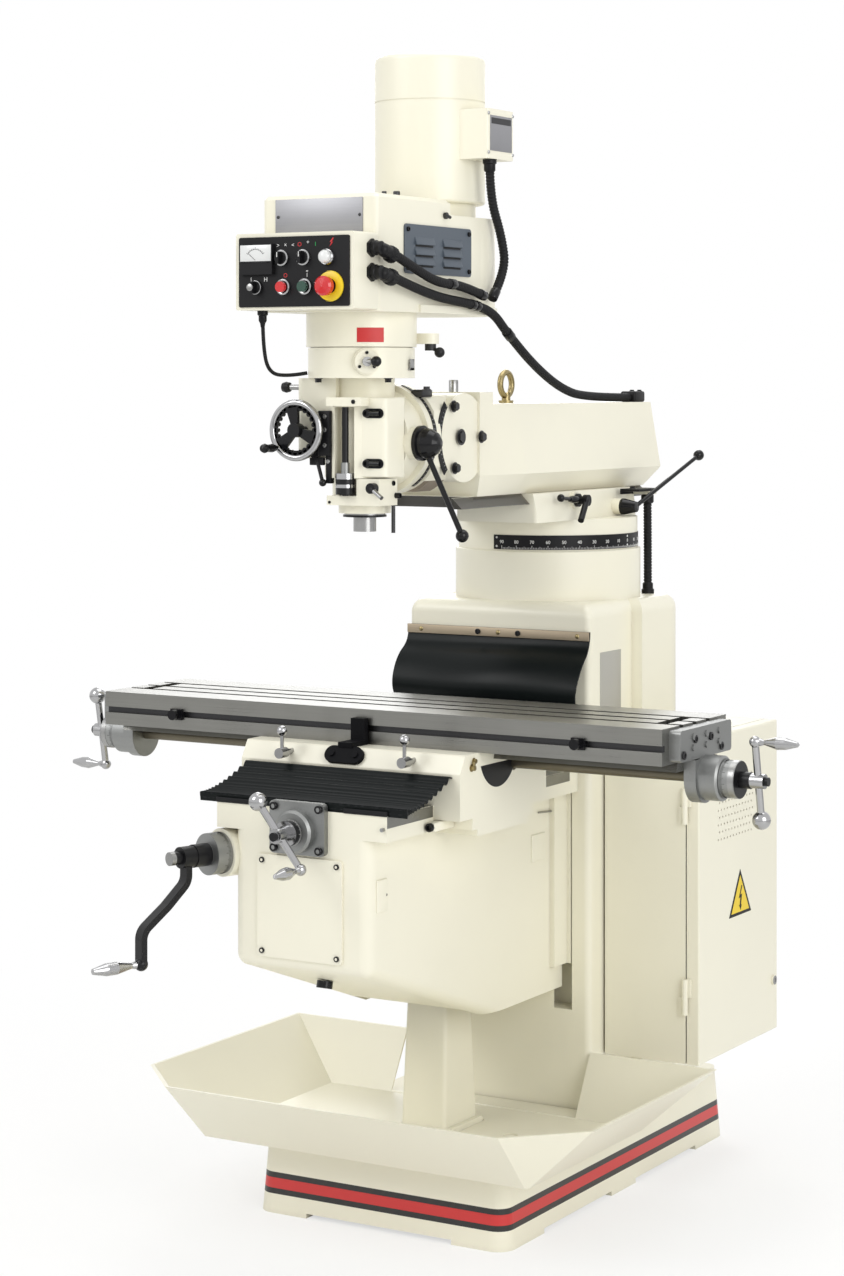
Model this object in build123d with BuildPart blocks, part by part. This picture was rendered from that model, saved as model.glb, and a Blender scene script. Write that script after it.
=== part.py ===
from math import atan2, cos, radians, sin, sqrt, tan

from build123d import *

# A knee-type vertical milling machine with a variable-speed head. Millimetres, +Z up,
# +X to the operator's right, the operator stands at -Y. The origin is on the floor, at
# the centre of the anchor bolts.

# Clearances between pieces that move on each other
running_gap = 0.3
slide_gap = 0.4
free_gap = 3.0

# Base casting
base_width = 620
base_length = 1092
base_height = 165
base_draft = 5
base_wall = 28
base_plate = 30
base_corner = 40
foot_recess = 10
foot_front = 130
foot_side = 170
foot_middle = 120
anchor_x = 500
anchor_y = 960
anchor_hole_r = 9
anchor_pad = 40
anchor_pad_size = 96

# Chip tray of folded sheet
tray_sheet = 4
tray_floor_half = 400
tray_floor_front = -618
tray_floor_rear = -96
tray_rise = 135
tray_flare = 145
tray_rear_flare = 78
tray_corner = 140
tray_fold = 6
tray_drain_r = 16

# Column casting
column_front = -20
column_half = 235
column_wing_half = 262
column_wing_front = 190
column_rear = 450
column_rear_corner = 105
column_shoulder = 1300
column_round = 30
column_wall = 32
neck_y = 223
neck_r = 217
neck_height = 114
neck_bore_r = 150
way_half = 145
way_root_half = 108
way_depth = 64
way_pocket_half = 190
way_bottom = 390
way_top = 1205

# Elevating pedestal and screw
pedestal_y = -287
pedestal_foot_x = 112
pedestal_foot_y = 144
pedestal_top_x = 98
pedestal_top_y = 104
pedestal_height = 350
pedestal_flange = 12
lift_screw_r = 19
lift_nut_r = 40
lift_nut_height = 42

# Electrical cabinet on the column's right side
cabinet_front = 45
cabinet_depth = 433
cabinet_bottom = 285
cabinet_height = 723
cabinet_outer = 440
cabinet_sheet = 3
cabinet_door_depth = 30
cabinet_door_gap = 3
cabinet_step_gap = 5
hinge_knuckle_r = 7
hinge_pin_r = 3
hinge_height = 80
hinge_inset = 150
lock_r = 11
lock_inset = 27
lock_height = 117
vent_hole_r = 3.0
vent_pitch = 16.5
vent_columns = 12
vent_rows = 9
vent_forward = 20
vent_drop = 105
electrics_plate = 6
electrics_border = 70
transformer_size = (70, 150, 90)
transformer_z = 130
contactor_size = (82, 48, 76)
contactor_pitch = 62
contactor_z = 330
terminal_rail_size = (40, 190, 30)
terminal_rail_z = 500

# Rubber cover between the column and the saddle
strip_half = 236
strip_height = 20
strip_drop = 70
rubber_thick = 4
rubber_rise = 50

# Knee
knee_front = -845
knee_half = 165
knee_slab_half = 205
knee_top = 934
knee_slab = 52
knee_toe = 608
knee_heel = 441
knee_heel_y = -365
knee_wall = 24
knee_round = 26
knee_jaw_bottom = 495
knee_jaw_top = 885
cross_z = 891
cross_screw_r = 15
cross_slot_half = 42
cover_half = 102
cover_bottom = 628
cover_top = 837
cover_thick = 5
bracket_half = 66
bracket_height = 107
bracket_rise = 6
bracket_thick = 14
bracket_boss_r = 44
bracket_boss = 20
screw_inset = 12
cover_screw_r = 5
cover_screw_head = 3
bracket_screw_r = 8
bracket_screw_head = 6
cross_dial_r = 26
cross_dial = 22
cross_hub_reach = 44
cross_back_gap = 110
cross_arm = (-0.62, 0, 0.78)

# Elevating crank, set at an angle so that its shaft meets the screw
crank_angle = 20
crank_z = 828
crank_boss_start = 470
crank_boss_end = 585
crank_boss_r = 50
crank_dial_r = 43
crank_dial_length = 36
crank_shaft_r = 14
crank_shaft_end = 715
crank_drop = 205
crank_reach = 110
pinion_start = 34
crank_pinion = (16, 30, 22)
crank_lever_back = 42
crank_lever_size = (14, 24)
crank_eye = 16
crank_eye_r = 22
crank_ball = 14
lift_gear_drop = 16

# Saddle
saddle_half = 268
saddle_front = -662
saddle_rear = -290
saddle_top_front = -640
saddle_top = 1037
saddle_jaw = 880
saddle_lip = 1000
saddle_jaw_front = -610
saddle_jaw_rear = -353
saddle_skirt = 30
saddle_edge = 6
lock_spread = 150
lock_z = 1020
lock_lever_r = 4
lock_ball_r = 11
lock_arm = 46
lock_inset_y = 30
lock_reach = 62
lock_collar_r = 11
lock_arm_y = 53
stop_x = -14
stop_plate = 10
stop_base_length = 92
stop_finger_width = 34
table_stop_left = -490
table_stop_right = 500
stop_knob_r = 11
stop_knob = 22
stop_plate_height = 24
stop_width = 30
stop_screw_head_r = 7

# Table
table_length = 1372
table_width = 305
table_y = -434
table_height = 73.6
tslot_count = 3
tslot_pitch = 63.5
tslot_width = 16
tslot_neck = 17
tslot_foot_width = 28
tslot_foot = 12
stop_slot_width = 13
stop_slot_depth = 12
table_way_half = 88
table_way_depth = 20
table_way_draft = 22
trough_depth = 10
trough_length = 46

# Table screw, end brackets and cranks
table_screw_z = 1000
table_screw_r = 12
table_nut_r = 16.4
end_bracket_thick = 26
end_bracket_boss_r = 46
end_bracket_boss = 42
end_screw_r = 6.5
end_screw_head = 3
end_screw_rows = 22
end_screw_columns = 62
table_dial_r = 38
table_dial_length = 34
crank_hub_r = 15
crank_collar_r = 17
crank_spindle_r = 9
crank_arm_r = 7.5
crank_arm_length = 82
crank_ball_r = 19
crank_grip_length = 96
crank_grip_r = 13
left_hub_x = -table_length / 2 - 126
right_hub_x = table_length / 2 + 140

# Turret and ram: heights above the column go up from the turret's seat
seat_z = column_shoulder + neck_height
turret_r = 210
turret_ring = 72
turret_half = 146
turret_front = -100
turret_top_half = 134
turret_cut_x = -62
turret_cut_y = 60
turret_corner = 12
turret_boss_r = 19
turret_pin = 16
pinion_boss = 16
turret_shelf = 52
turret_rear = 400
turret_spigot = 60
turret_slot_top = 102
turret_slot_low = 126
turret_slot_depth = 24
ram_top_half = 118
ram_shoulder_half = 145
ram_foot_half = 110
ram_rail_front = -330
ram_strip_front = -405
ram_strip = 26
ram_flare_y = -150
ram_top = seat_z + 338
ram_shoulder = seat_z + 183
ram_foot = seat_z + 137
ram_rear = 530
ram_wall = 26
ram_step_y = -255
ram_block_top = ram_top + 26
ram_bevel_back = 26
eye_y = 18
eye_shank_r = 10
eye_r = 27
eye_wire_r = 7

# Knuckle between ram and head: it nods about X on the ram's round end, the head turns on its face
nod_y = -372
nod_z = seat_z + 266
nod_r = 96
knuckle_half = 112
knuckle_r = 118
flange_y = -505
knuckle_round = 126
knuckle_step = 4

# Head
spindle_y = -597
nose_z = nod_z - 194
quill_r = 43
spindle_r = 28
spindle_bore_r = 12.05
spindle_bore_length = 100
head_bottom = nod_z - 137
head_front = -672
head_top = nod_z + 128
gear_lower_r = 112
gear_lower_top = head_top + 63
gear_upper_r = 116
gear_y = -610
belt_half = 140
belt_front = -775
belt_bottom = head_top + 136
belt_top = belt_bottom + 240
belt_shelf = belt_top - 31
belt_step_y = -480
belt_edge = 8
belt_wall = 6
belt_flange = 16
motor_y = -326
motor_r = 121
motor_bottom = belt_top + 2
motor_seam = motor_bottom + 222
motor_top = motor_seam + 100
motor_neck_r = 100
motor_round = 12
motor_lip = 7
belt_rear_r = 142
control_front = -868
control_half = 142
control_bottom = belt_bottom + 2
control_top = control_bottom + 156
control_sheet = 4
button_hole_r = 9
emergency_hole_r = 11
emergency_ring_r = 30
ring_wall = 6
ring_rise = 4
meter_x = -86
meter_size = (79, 9, 62)
lamp_x = 81
lamp_r = 13
lamp_ring = 6
head_flange = 26
head_barrel_r = 106
quill_housing_r = 84
feed_case_left = -128
feed_case_right = -27
feed_case_front = -668
feed_case_rear = -545
feed_case_bottom = head_bottom + 97
stop_slot_half = 24
stop_high = head_top - 60
head_foot = 20
foot_left = -47
foot_right = 80
clamp_left = 26
clamp_height = 56
lower_r = 68
lower_height = 57
head_neck_r = 63
feed_case_round = 18
brow_left = -30
brow_right = 56
brow_front = -702
brow_low = stop_high + 2
brow_height = 18
stop_screw_r = 7
stop_screw_y = -674
stop_nut_r = 20
stop_nut = 44
stop_sleeve_r = 9
stop_sleeve = 22
stop_slot_back = 56
collar_drop = 18
collar_r = 55
shaft_r = 14
pulley_r = 68
pulley_low = belt_bottom + belt_wall
pulley_width = 44
belt_thick = 5
rotor_r = 70
panel_half = 133
panel_low = control_bottom + 6
panel_high = control_top - 8
panel_thick = 3
button_travel = 4
upper_row = control_bottom + 105
lower_row = control_bottom + 46
quill_bottom = head_bottom - 26
quill_top = head_top - 13
quill_plate_r = 46
quill_plate = 4
nose_r = 24
nose_seat = nose_z + 54
spindle_shoulder = quill_top - 15
spindle_top = belt_shelf - 34
terminal_low = motor_bottom + 93
terminal_high = terminal_low + 107
terminal_out = 177
terminal_front = -383
terminal_rear = -268
lever_y = -570
lever_z = nod_z - 8
lever_boss_x = 119
lever_boss_r = 34
lever_root = 6
lever_lean = (40, 97, -197)
lever_shaft_r = 10
lever_rod_r = 6
lever_ball_r = 14
small_ball_r = 11
ram_ball_r = 13
wheel_x = -104
wheel_z = nod_z + 19
wheel_rim_r = 58
wheel_wire_r = 7
wheel_y = -702
wheel_shaft_r = 8
wheel_hub_r = 15
wheel_hub = 22
selector_way = 0.6
selector_z = head_top + 34
selector_boss = 119
selector_boss_r = 28
selector_plate_r = 25
range_x = 118
range_y = -525
range_low = gear_lower_top + 9
range_arm = 80
range_boss = 22
range_boss_r = 18
pull_y = -640
pull_z = head_top - 19
pull_r = 6
pinion_y = 289
pinion_z = seat_z + 94
clamp_y = 87
clamp_z = seat_z + 116
turret_pin_r = 9
conduit_r = 10
conduit_bore_r = 7

# Ways for a box or cylinder to sit on its location
standing = (Align.CENTER, Align.CENTER, Align.MIN)
hanging = (Align.CENTER, Align.CENTER, Align.MAX)
behind = (Align.CENTER, Align.MIN, Align.CENTER)
behind_standing = (Align.CENTER, Align.MIN, Align.MIN)
before = (Align.CENTER, Align.MAX, Align.CENTER)
before_standing = (Align.CENTER, Align.MAX, Align.MIN)
right_standing = (Align.MIN, Align.CENTER, Align.MIN)


def save(builder, name):
    builder.part.label = name
    export_step(builder.part, f"parts/{name}.step")


def polygon(plane, points):
    with BuildSketch(plane) as outline:
        with BuildLine():
            Polyline(*points, close=True)
        make_face()
    return outline.sketch


def turned(plane, points):
    """A solid of revolution about the plane's Y axis from (radius, height) points."""
    with BuildPart() as piece:
        with BuildSketch(plane):
            with BuildLine():
                Polyline(*points, close=True)
            make_face()
        revolve(axis=Axis(plane.origin, plane.y_dir))
    return piece.part


def axis_plane(origin, direction):
    """A plane whose Y axis runs along the direction, for turned pieces."""
    along = Vector(*direction).normalized()
    side = Vector(0, 0, 1) if abs(along.Z) < 0.9 else Vector(1, 0, 0)
    across = side.cross(along).normalized()
    return Plane(origin, x_dir=across, z_dir=across.cross(along))


def rod(start, end, radius):
    """A round bar between two points."""
    start, end = Vector(*start), Vector(*end)
    return Solid.make_cylinder(radius, (end - start).length, Plane(start, z_dir=end - start))


# Base casting, hollow from below, standing on pads
base_top = base_height
with BuildPart() as base_casting:
    with BuildSketch():
        RectangleRounded(base_width, base_length, base_corner)
    extrude(amount=base_height, taper=base_draft)
    with BuildSketch():
        RectangleRounded(base_width - 2 * base_wall, base_length - 2 * base_wall, base_corner / 2)
    extrude(amount=base_height - base_plate, taper=base_draft, mode=Mode.SUBTRACT)
    with BuildSketch():
        with GridLocations(anchor_x, anchor_y, 2, 2):
            Rectangle(anchor_pad_size, anchor_pad_size)
    extrude(amount=anchor_pad)
    with GridLocations(anchor_x, anchor_y, 2, 2):
        Hole(anchor_hole_r)
    Box(base_width - 2 * foot_front, 2 * base_length, 2 * foot_recess, mode=Mode.SUBTRACT)
    side_run = (base_length - 2 * foot_side - foot_middle) / 2
    with Locations((0, (foot_middle + side_run) / 2, 0), (0, -(foot_middle + side_run) / 2, 0)):
        Box(2 * base_width, side_run, 2 * foot_recess, mode=Mode.SUBTRACT)
save(base_casting, "base_casting")

# Chip tray: sloped walls with folded corners, open at the back where the column stands
tray_bottom = base_top
tray_rim = tray_bottom + tray_rise
tray_rim_half = tray_floor_half + tray_flare
tray_rim_front = tray_floor_front - tray_flare + 11
tray_rim_rear = tray_floor_rear + tray_rear_flare


def tray_outline(height, half, front, rear, corner):
    return polygon(Plane.XY.offset(height), [
        (-half, rear), (-half, front + corner), (-half + corner, front),
        (half - corner, front), (half, front + corner), (half, rear)])


tray_slope = tray_sheet * 1.5
with BuildPart() as chip_tray:
    loft([
        tray_outline(tray_bottom, tray_floor_half, tray_floor_front, tray_floor_rear, tray_fold),
        tray_outline(tray_rim, tray_rim_half, tray_rim_front, tray_rim_rear, tray_corner)], ruled=True)
    loft([
        tray_outline(tray_bottom + tray_sheet, tray_floor_half, tray_floor_front + 1, tray_floor_rear - 1,
                     tray_fold),
        tray_outline(tray_rim + 1, tray_rim_half - tray_slope, tray_rim_front + tray_slope,
                     tray_rim_rear - tray_slope, tray_corner)], ruled=True, mode=Mode.SUBTRACT)
    tray_gap_half = column_half + free_gap
    with BuildSketch(Plane.XY.offset(tray_bottom + tray_sheet)):
        with Locations((0, tray_rim_rear)):
            Rectangle(2 * tray_gap_half, 2 * (tray_rim_rear - tray_floor_rear))
    extrude(amount=tray_rise, mode=Mode.SUBTRACT)
    with BuildSketch(Plane.XY.offset(tray_bottom)):
        with Locations((0, column_front - free_gap)):
            Rectangle(2 * tray_gap_half, column_front - free_gap - tray_floor_rear + 8,
                      align=(Align.CENTER, Align.MAX))
    extrude(amount=tray_sheet)
    with BuildSketch(Plane.XY.offset(tray_bottom)):
        with Locations((0, pedestal_y)):
            Rectangle(pedestal_foot_x + 2 * pedestal_flange + 1, pedestal_foot_y + 2 * pedestal_flange + 1)
        with Locations((1.6 * pedestal_foot_x, pedestal_y)):
            Circle(tray_drain_r)
    extrude(amount=tray_sheet, mode=Mode.SUBTRACT)
save(chip_tray, "chip_tray")

# Column casting: narrow front with dovetail ways, wider rear, round neck on top
column_bottom = base_top
neck_top = column_shoulder + neck_height
way_back = column_front + way_depth
with BuildPart() as column_casting:
    with BuildSketch(Plane.XY.offset(column_bottom)):
        with Locations((0, column_front)):
            Rectangle(2 * column_half, column_wing_front - column_front + 1, align=(Align.CENTER, Align.MIN))
        with Locations((0, column_wing_front)):
            Rectangle(2 * column_wing_half, column_rear - column_wing_front, align=(Align.CENTER, Align.MIN))
    extrude(amount=column_shoulder - column_bottom)
    rear_corners = column_casting.edges().filter_by(Axis.Z).group_by(Axis.Y)[-1]
    fillet(rear_corners, column_rear_corner)
    front_corners = column_casting.edges().filter_by(Axis.Z).group_by(Axis.Y)[0]
    fillet(front_corners, column_round / 2)
    fillet(column_casting.faces().sort_by(Axis.Z)[-1].edges(), column_round)
    with Locations((0, neck_y, column_shoulder - column_round)):
        Cylinder(neck_r, neck_height + column_round, align=standing)
    fillet(column_casting.edges().filter_by(GeomType.CIRCLE).sort_by(Axis.Z)[-1], 3)
    for side in (-1, 1):
        extrude(polygon(Plane.XY.offset(way_bottom), [
            (side * way_half, column_front - 1), (side * way_pocket_half, column_front - 1),
            (side * way_pocket_half, way_back), (side * way_root_half, way_back),
            (side * way_half, column_front)]), amount=way_top - way_bottom, mode=Mode.SUBTRACT)
    cavity_front = way_back + column_wall
    with BuildSketch(Plane.XY.offset(column_bottom)):
        with Locations((0, cavity_front)):
            Rectangle(2 * (column_half - column_wall), column_rear - column_wall - cavity_front,
                      align=(Align.CENTER, Align.MIN))
    extrude(amount=column_shoulder - 2 * column_wall - column_bottom, mode=Mode.SUBTRACT)
    with Locations((0, neck_y, column_shoulder)):
        Cylinder(neck_bore_r, 2 * neck_height + 4 * column_wall, mode=Mode.SUBTRACT)
save(column_casting, "column_casting")

# Elevating pedestal with the bronze nut on its top
pedestal_bottom = tray_bottom
pedestal_top = pedestal_bottom + pedestal_height
lift_bore_r = lift_screw_r + free_gap
with BuildPart() as elevating_pedestal:
    with BuildSketch(Plane.XY.offset(pedestal_bottom)) as pedestal_low:
        with Locations((0, pedestal_y)):
            Rectangle(pedestal_foot_x, pedestal_foot_y)
    with BuildSketch(Plane.XY.offset(pedestal_top)) as pedestal_high:
        with Locations((0, pedestal_y)):
            Rectangle(pedestal_top_x, pedestal_top_y)
    loft(ruled=True)
    fillet(elevating_pedestal.edges().filter_by(lambda e: e.bounding_box().size.Z > pedestal_height / 2), 9)
    with BuildSketch(Plane.XY.offset(pedestal_bottom)):
        with Locations((0, pedestal_y)):
            RectangleRounded(pedestal_foot_x + 2 * pedestal_flange, pedestal_foot_y + 2 * pedestal_flange, 14)
    extrude(amount=pedestal_flange + tray_sheet)
    with Locations((0, pedestal_y, pedestal_top)):
        Cylinder(lift_bore_r, 3 * pedestal_height, mode=Mode.SUBTRACT)
        Cylinder(lift_nut_r, lift_nut_height, align=standing)
        Cylinder(lift_screw_r + running_gap, 3 * lift_nut_height, mode=Mode.SUBTRACT)
save(elevating_pedestal, "elevating_pedestal")

# Electrical cabinet: an open sheet box beside the column, with its door on the outer side
cabinet_rear = cabinet_front + cabinet_depth
cabinet_top = cabinet_bottom + cabinet_height
cabinet_inner = column_wing_half + cabinet_step_gap
cabinet_inner_front = column_half + cabinet_step_gap
cabinet_step_y = column_wing_front - cabinet_step_gap


def cabinet_plan(inset, open_side):
    return polygon(Plane.XY.offset(cabinet_bottom + inset), [
        (cabinet_inner_front + inset, cabinet_front + inset),
        (cabinet_outer + open_side, cabinet_front + inset),
        (cabinet_outer + open_side, cabinet_rear - inset),
        (cabinet_inner + inset, cabinet_rear - inset),
        (cabinet_inner + inset, cabinet_step_y + inset),
        (cabinet_inner_front + inset, cabinet_step_y + inset)])


hinge_x = cabinet_outer + cabinet_door_gap / 2
hinge_y = cabinet_front - hinge_knuckle_r - slide_gap
hinge_heights = (cabinet_bottom + hinge_inset, cabinet_top - hinge_inset)
hinge_leaf = hinge_knuckle_r + slide_gap
with BuildPart() as cabinet_body:
    extrude(cabinet_plan(0, 0), amount=cabinet_height)
    extrude(cabinet_plan(cabinet_sheet, 1), amount=cabinet_height - 2 * cabinet_sheet, mode=Mode.SUBTRACT)
    for z in (cabinet_bottom + hinge_inset, cabinet_top - hinge_inset):
        with Locations((cabinet_inner - cabinet_step_gap, (cabinet_step_y + cabinet_rear) / 2, z)):
            Box(cabinet_step_gap, 60, 40, align=(Align.MIN, Align.CENTER, Align.CENTER))
    for z in hinge_heights:
        with Locations((hinge_x, hinge_y, z)):
            Cylinder(hinge_knuckle_r, hinge_height / 2 - 1, align=hanging)
            Cylinder(hinge_pin_r, hinge_height / 2 - 2, align=standing)
        with Locations((hinge_x - hinge_knuckle_r, cabinet_front, z - 1)):
            Box(2 * hinge_knuckle_r, hinge_leaf, hinge_height / 2 - 2,
                align=(Align.CENTER, Align.MAX, Align.MAX))
save(cabinet_body, "cabinet_body")

door_inner = cabinet_outer + cabinet_door_gap
door_outer = door_inner + cabinet_door_depth
door_mid_y = (cabinet_front + cabinet_rear) / 2
with BuildPart() as cabinet_door:
    with Locations((door_inner, door_mid_y, cabinet_bottom)):
        Box(cabinet_door_depth, cabinet_depth, cabinet_height, align=right_standing)
    fillet(cabinet_door.edges().group_by(Axis.X)[-1], 4)
    with Locations((door_inner, door_mid_y, cabinet_bottom + cabinet_sheet)):
        Box(cabinet_door_depth - cabinet_sheet, cabinet_depth - 2 * cabinet_sheet,
            cabinet_height - 2 * cabinet_sheet, align=right_standing, mode=Mode.SUBTRACT)
    with BuildSketch(Plane.YZ.offset(door_outer)):
        for row in range(vent_rows):
            shift = vent_pitch / 4 * (1 if row % 2 else -1)
            with Locations((door_mid_y - vent_forward + shift, cabinet_top - vent_drop - row * vent_pitch)):
                with GridLocations(vent_pitch, vent_pitch, vent_columns, 1):
                    RegularPolygon(vent_hole_r, 6)
    extrude(amount=-2 * cabinet_sheet, mode=Mode.SUBTRACT)
    for z in hinge_heights:
        with Locations((hinge_x, hinge_y, z)):
            Cylinder(hinge_knuckle_r, hinge_height / 2, align=standing)
        with Locations((hinge_x + hinge_knuckle_r, cabinet_front, z)):
            Box(2 * hinge_knuckle_r, hinge_leaf, hinge_height / 2, align=before_standing)
        with Locations((hinge_x, hinge_y, z)):
            Cylinder(hinge_pin_r + running_gap, 2 * hinge_height, mode=Mode.SUBTRACT)
    with Locations((door_outer, cabinet_rear - lock_inset, cabinet_bottom + lock_height)):
        Cylinder(lock_r, 4 * cabinet_sheet, rotation=(0, 90, 0))
save(cabinet_door, "cabinet_door")

panel_x = cabinet_inner + cabinet_sheet
with BuildPart() as cabinet_electrics:
    panel_y = (cabinet_step_y + cabinet_rear) / 2
    plate_face = panel_x + electrics_plate
    with Locations((panel_x, panel_y, cabinet_bottom + electrics_border)):
        Box(electrics_plate, cabinet_rear - cabinet_step_y - electrics_border,
            cabinet_height - 2 * electrics_border, align=right_standing)
    with Locations((plate_face, panel_y, cabinet_bottom + transformer_z)):
        Box(*transformer_size, align=right_standing)
    with Locations((plate_face, panel_y, cabinet_bottom + contactor_z)):
        with GridLocations(1, contactor_pitch, 1, 3):
            Box(*contactor_size, align=right_standing)
    with Locations((plate_face, panel_y, cabinet_bottom + terminal_rail_z)):
        Box(*terminal_rail_size, align=right_standing)
save(cabinet_electrics, "cabinet_electrics")

# Rubber sheet that hangs from the column to the saddle
rubber_back = column_front
strip_z = column_shoulder - strip_drop
rubber_top = strip_z + strip_height / 2
rubber_low = knee_top + rubber_rise
rubber_fall = rubber_top - rubber_low
with BuildPart() as rear_way_cover:
    with BuildSketch(Plane.YZ.offset(-strip_half)):
        with BuildLine() as hang:
            hang_top = (rubber_back - rubber_thick / 2, rubber_top)
            hang_a = (rubber_back - rubber_thick / 2, rubber_top - strip_height - 18)
            hang_b = (rubber_back - 52, rubber_top - strip_height - 52)
            hang_c = (rubber_back - 86, rubber_low + 0.45 * rubber_fall)
            hang_d = (rubber_back - 108, rubber_low + 0.16 * rubber_fall)
            hang_e = (saddle_rear + 30, rubber_low)
            hang_f = (saddle_rear + 0.5, rubber_low)
            FilletPolyline(hang_top, hang_a, hang_b, hang_c, hang_d, hang_e, hang_f,
                           radius=[24, 60, 200, 50, 30])
        trace(hang.edges(), line_width=rubber_thick - 0.1)
    extrude(amount=2 * strip_half)
save(rear_way_cover, "rear_way_cover")

# Knee: a hollow bracket that rides on the column's dovetail
knee_rear = column_front - slide_gap
knee_slab_bottom = knee_top - knee_slab
toe_y = knee_front
crank_dir = Vector(-sin(radians(crank_angle)), -cos(radians(crank_angle)), 0)


def crank_point(distance):
    return Vector(0, pedestal_y, crank_z) + crank_dir * distance


with BuildPart() as knee_casting:
    extrude(polygon(Plane.YZ.offset(-knee_half), [
        (toe_y, knee_slab_bottom + 1), (toe_y, knee_toe), (knee_heel_y, knee_heel),
        (knee_rear, knee_heel), (knee_rear, knee_slab_bottom + 1)]), amount=2 * knee_half)
    fillet(knee_casting.edges().filter_by(Axis.Z).group_by(Axis.Y)[0], knee_round)
    toe_edge = knee_casting.edges().filter_by(Axis.X).group_by(Axis.Y)[0].sort_by(Axis.Z)[0]
    fillet(toe_edge, knee_round)
    with Locations((0, knee_front, knee_slab_bottom)):
        Box(2 * knee_slab_half, knee_rear - knee_front, knee_slab, align=behind_standing)
    for side in (-1, 1):
        extrude(polygon(Plane.XY.offset(knee_jaw_bottom), [
            (side * (way_half + slide_gap), knee_rear - 1),
            (side * (way_pocket_half - free_gap), knee_rear - 1),
            (side * (way_pocket_half - free_gap), way_back - 2 * slide_gap),
            (side * (way_root_half + 2 * slide_gap), way_back - 2 * slide_gap),
            (side * (way_half + 2 * slide_gap), knee_rear)]), amount=knee_jaw_top - knee_jaw_bottom)
        with Locations((side * (knee_half + 1), knee_rear, knee_jaw_bottom)):
            Box(way_pocket_half - free_gap - knee_half + 1, 60, knee_jaw_top - knee_jaw_bottom,
                align=before_standing)
    cavity_floor = knee_heel - 1
    extrude(polygon(Plane.YZ.offset(-knee_half + knee_wall), [
        (knee_front + knee_wall, knee_top - knee_slab), (knee_front + knee_wall, knee_toe + 2 * knee_wall),
        (knee_heel_y - 60, knee_heel + 2.4 * knee_wall), (knee_heel_y - 60, cavity_floor),
        (knee_rear - 2 * knee_wall, cavity_floor), (knee_rear - 2 * knee_wall, knee_top - knee_slab)]),
        amount=2 * (knee_half - knee_wall), mode=Mode.SUBTRACT)
    with Locations((0, knee_front + 2 * knee_wall, knee_top)):
        Box(2 * cross_slot_half, knee_rear - knee_front - 4 * knee_wall, 3 * knee_slab,
            align=behind, mode=Mode.SUBTRACT)
    with Locations((0, knee_front, cross_z)):
        Cylinder(cross_screw_r + free_gap, 6 * knee_wall, rotation=(90, 0, 0), mode=Mode.SUBTRACT)
    add(rod(crank_point(crank_boss_start), crank_point(crank_boss_end), crank_boss_r))
    crank_bore = rod(crank_point(0), crank_point(crank_boss_end + 50), crank_shaft_r + running_gap)
    add(crank_bore, mode=Mode.SUBTRACT)

cover_height = cover_top - cover_bottom
with BuildPart() as knee_front_cover:
    with BuildSketch(Plane.XZ.offset(-knee_front)):
        with Locations((0, (cover_bottom + cover_top) / 2)):
            RectangleRounded(2 * cover_half, cover_height, 8)
    extrude(amount=cover_thick)
    with Locations((0, knee_front - cover_thick, (cover_bottom + cover_top) / 2)):
        with Locations(Rotation(90, 0, 0)):
            with GridLocations(2 * (cover_half - screw_inset), cover_height - 2 * screw_inset, 2, 2):
                Cylinder(cover_screw_r, cover_screw_head, align=standing)

# Front bearing of the cross screw, a square flanged bracket
bracket_face = knee_front - bracket_thick
bracket_nose = bracket_face - bracket_boss
with BuildPart() as cross_bearing_bracket:
    with Locations((0, knee_front, cross_z + bracket_rise)):
        Box(2 * bracket_half, bracket_thick, bracket_height, align=before)
    fillet(cross_bearing_bracket.edges().filter_by(Axis.Y), 10)
    add(rod((0, bracket_face + 1, cross_z), (0, bracket_nose, cross_z), bracket_boss_r))
    chamfer(cross_bearing_bracket.edges().filter_by(GeomType.CIRCLE).sort_by(Axis.Y)[0], 5)
    with Locations((0, bracket_face, cross_z + bracket_rise)):
        with Locations(Rotation(90, 0, 0)):
            with GridLocations(2 * (bracket_half - screw_inset), bracket_height - 2 * screw_inset, 2, 2):
                Cylinder(bracket_screw_r, bracket_screw_head, align=standing)
    with Locations((0, knee_front, cross_z)):
        Cylinder(cross_screw_r + running_gap, 8 * bracket_thick, rotation=(90, 0, 0), mode=Mode.SUBTRACT)
save(cross_bearing_bracket, "cross_bearing_bracket")


def ball_crank(hub, along, arm, grip_way):
    """A balanced crank: a round arm across the hub with a ball at one end and a grip at the other."""
    hub, along, arm = Vector(*hub), Vector(*along).normalized(), Vector(*arm).normalized()
    grip_start = hub - arm * crank_arm_length
    grip_dir = along * grip_way
    with BuildPart() as crank:
        add(rod(hub - along * crank_hub_r, hub + along * crank_hub_r, crank_hub_r))
        add(rod(hub + arm * crank_arm_length, grip_start, crank_arm_r))
        with Locations(Plane(hub + arm * crank_arm_length, z_dir=arm).location):
            Sphere(crank_ball_r)
        with Locations(Plane(grip_start, z_dir=arm).location):
            Sphere(crank_hub_r * 0.8)
        add(turned(axis_plane(grip_start, grip_dir), [
            (0, 0), (crank_arm_r, 0), (crank_arm_r, 12), (5, 20),
            (crank_grip_r, 0.5 * crank_grip_length), (crank_grip_r * 0.9, 0.7 * crank_grip_length),
            (5, crank_grip_length - 4), (0, crank_grip_length)]))
    return crank.part


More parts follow.
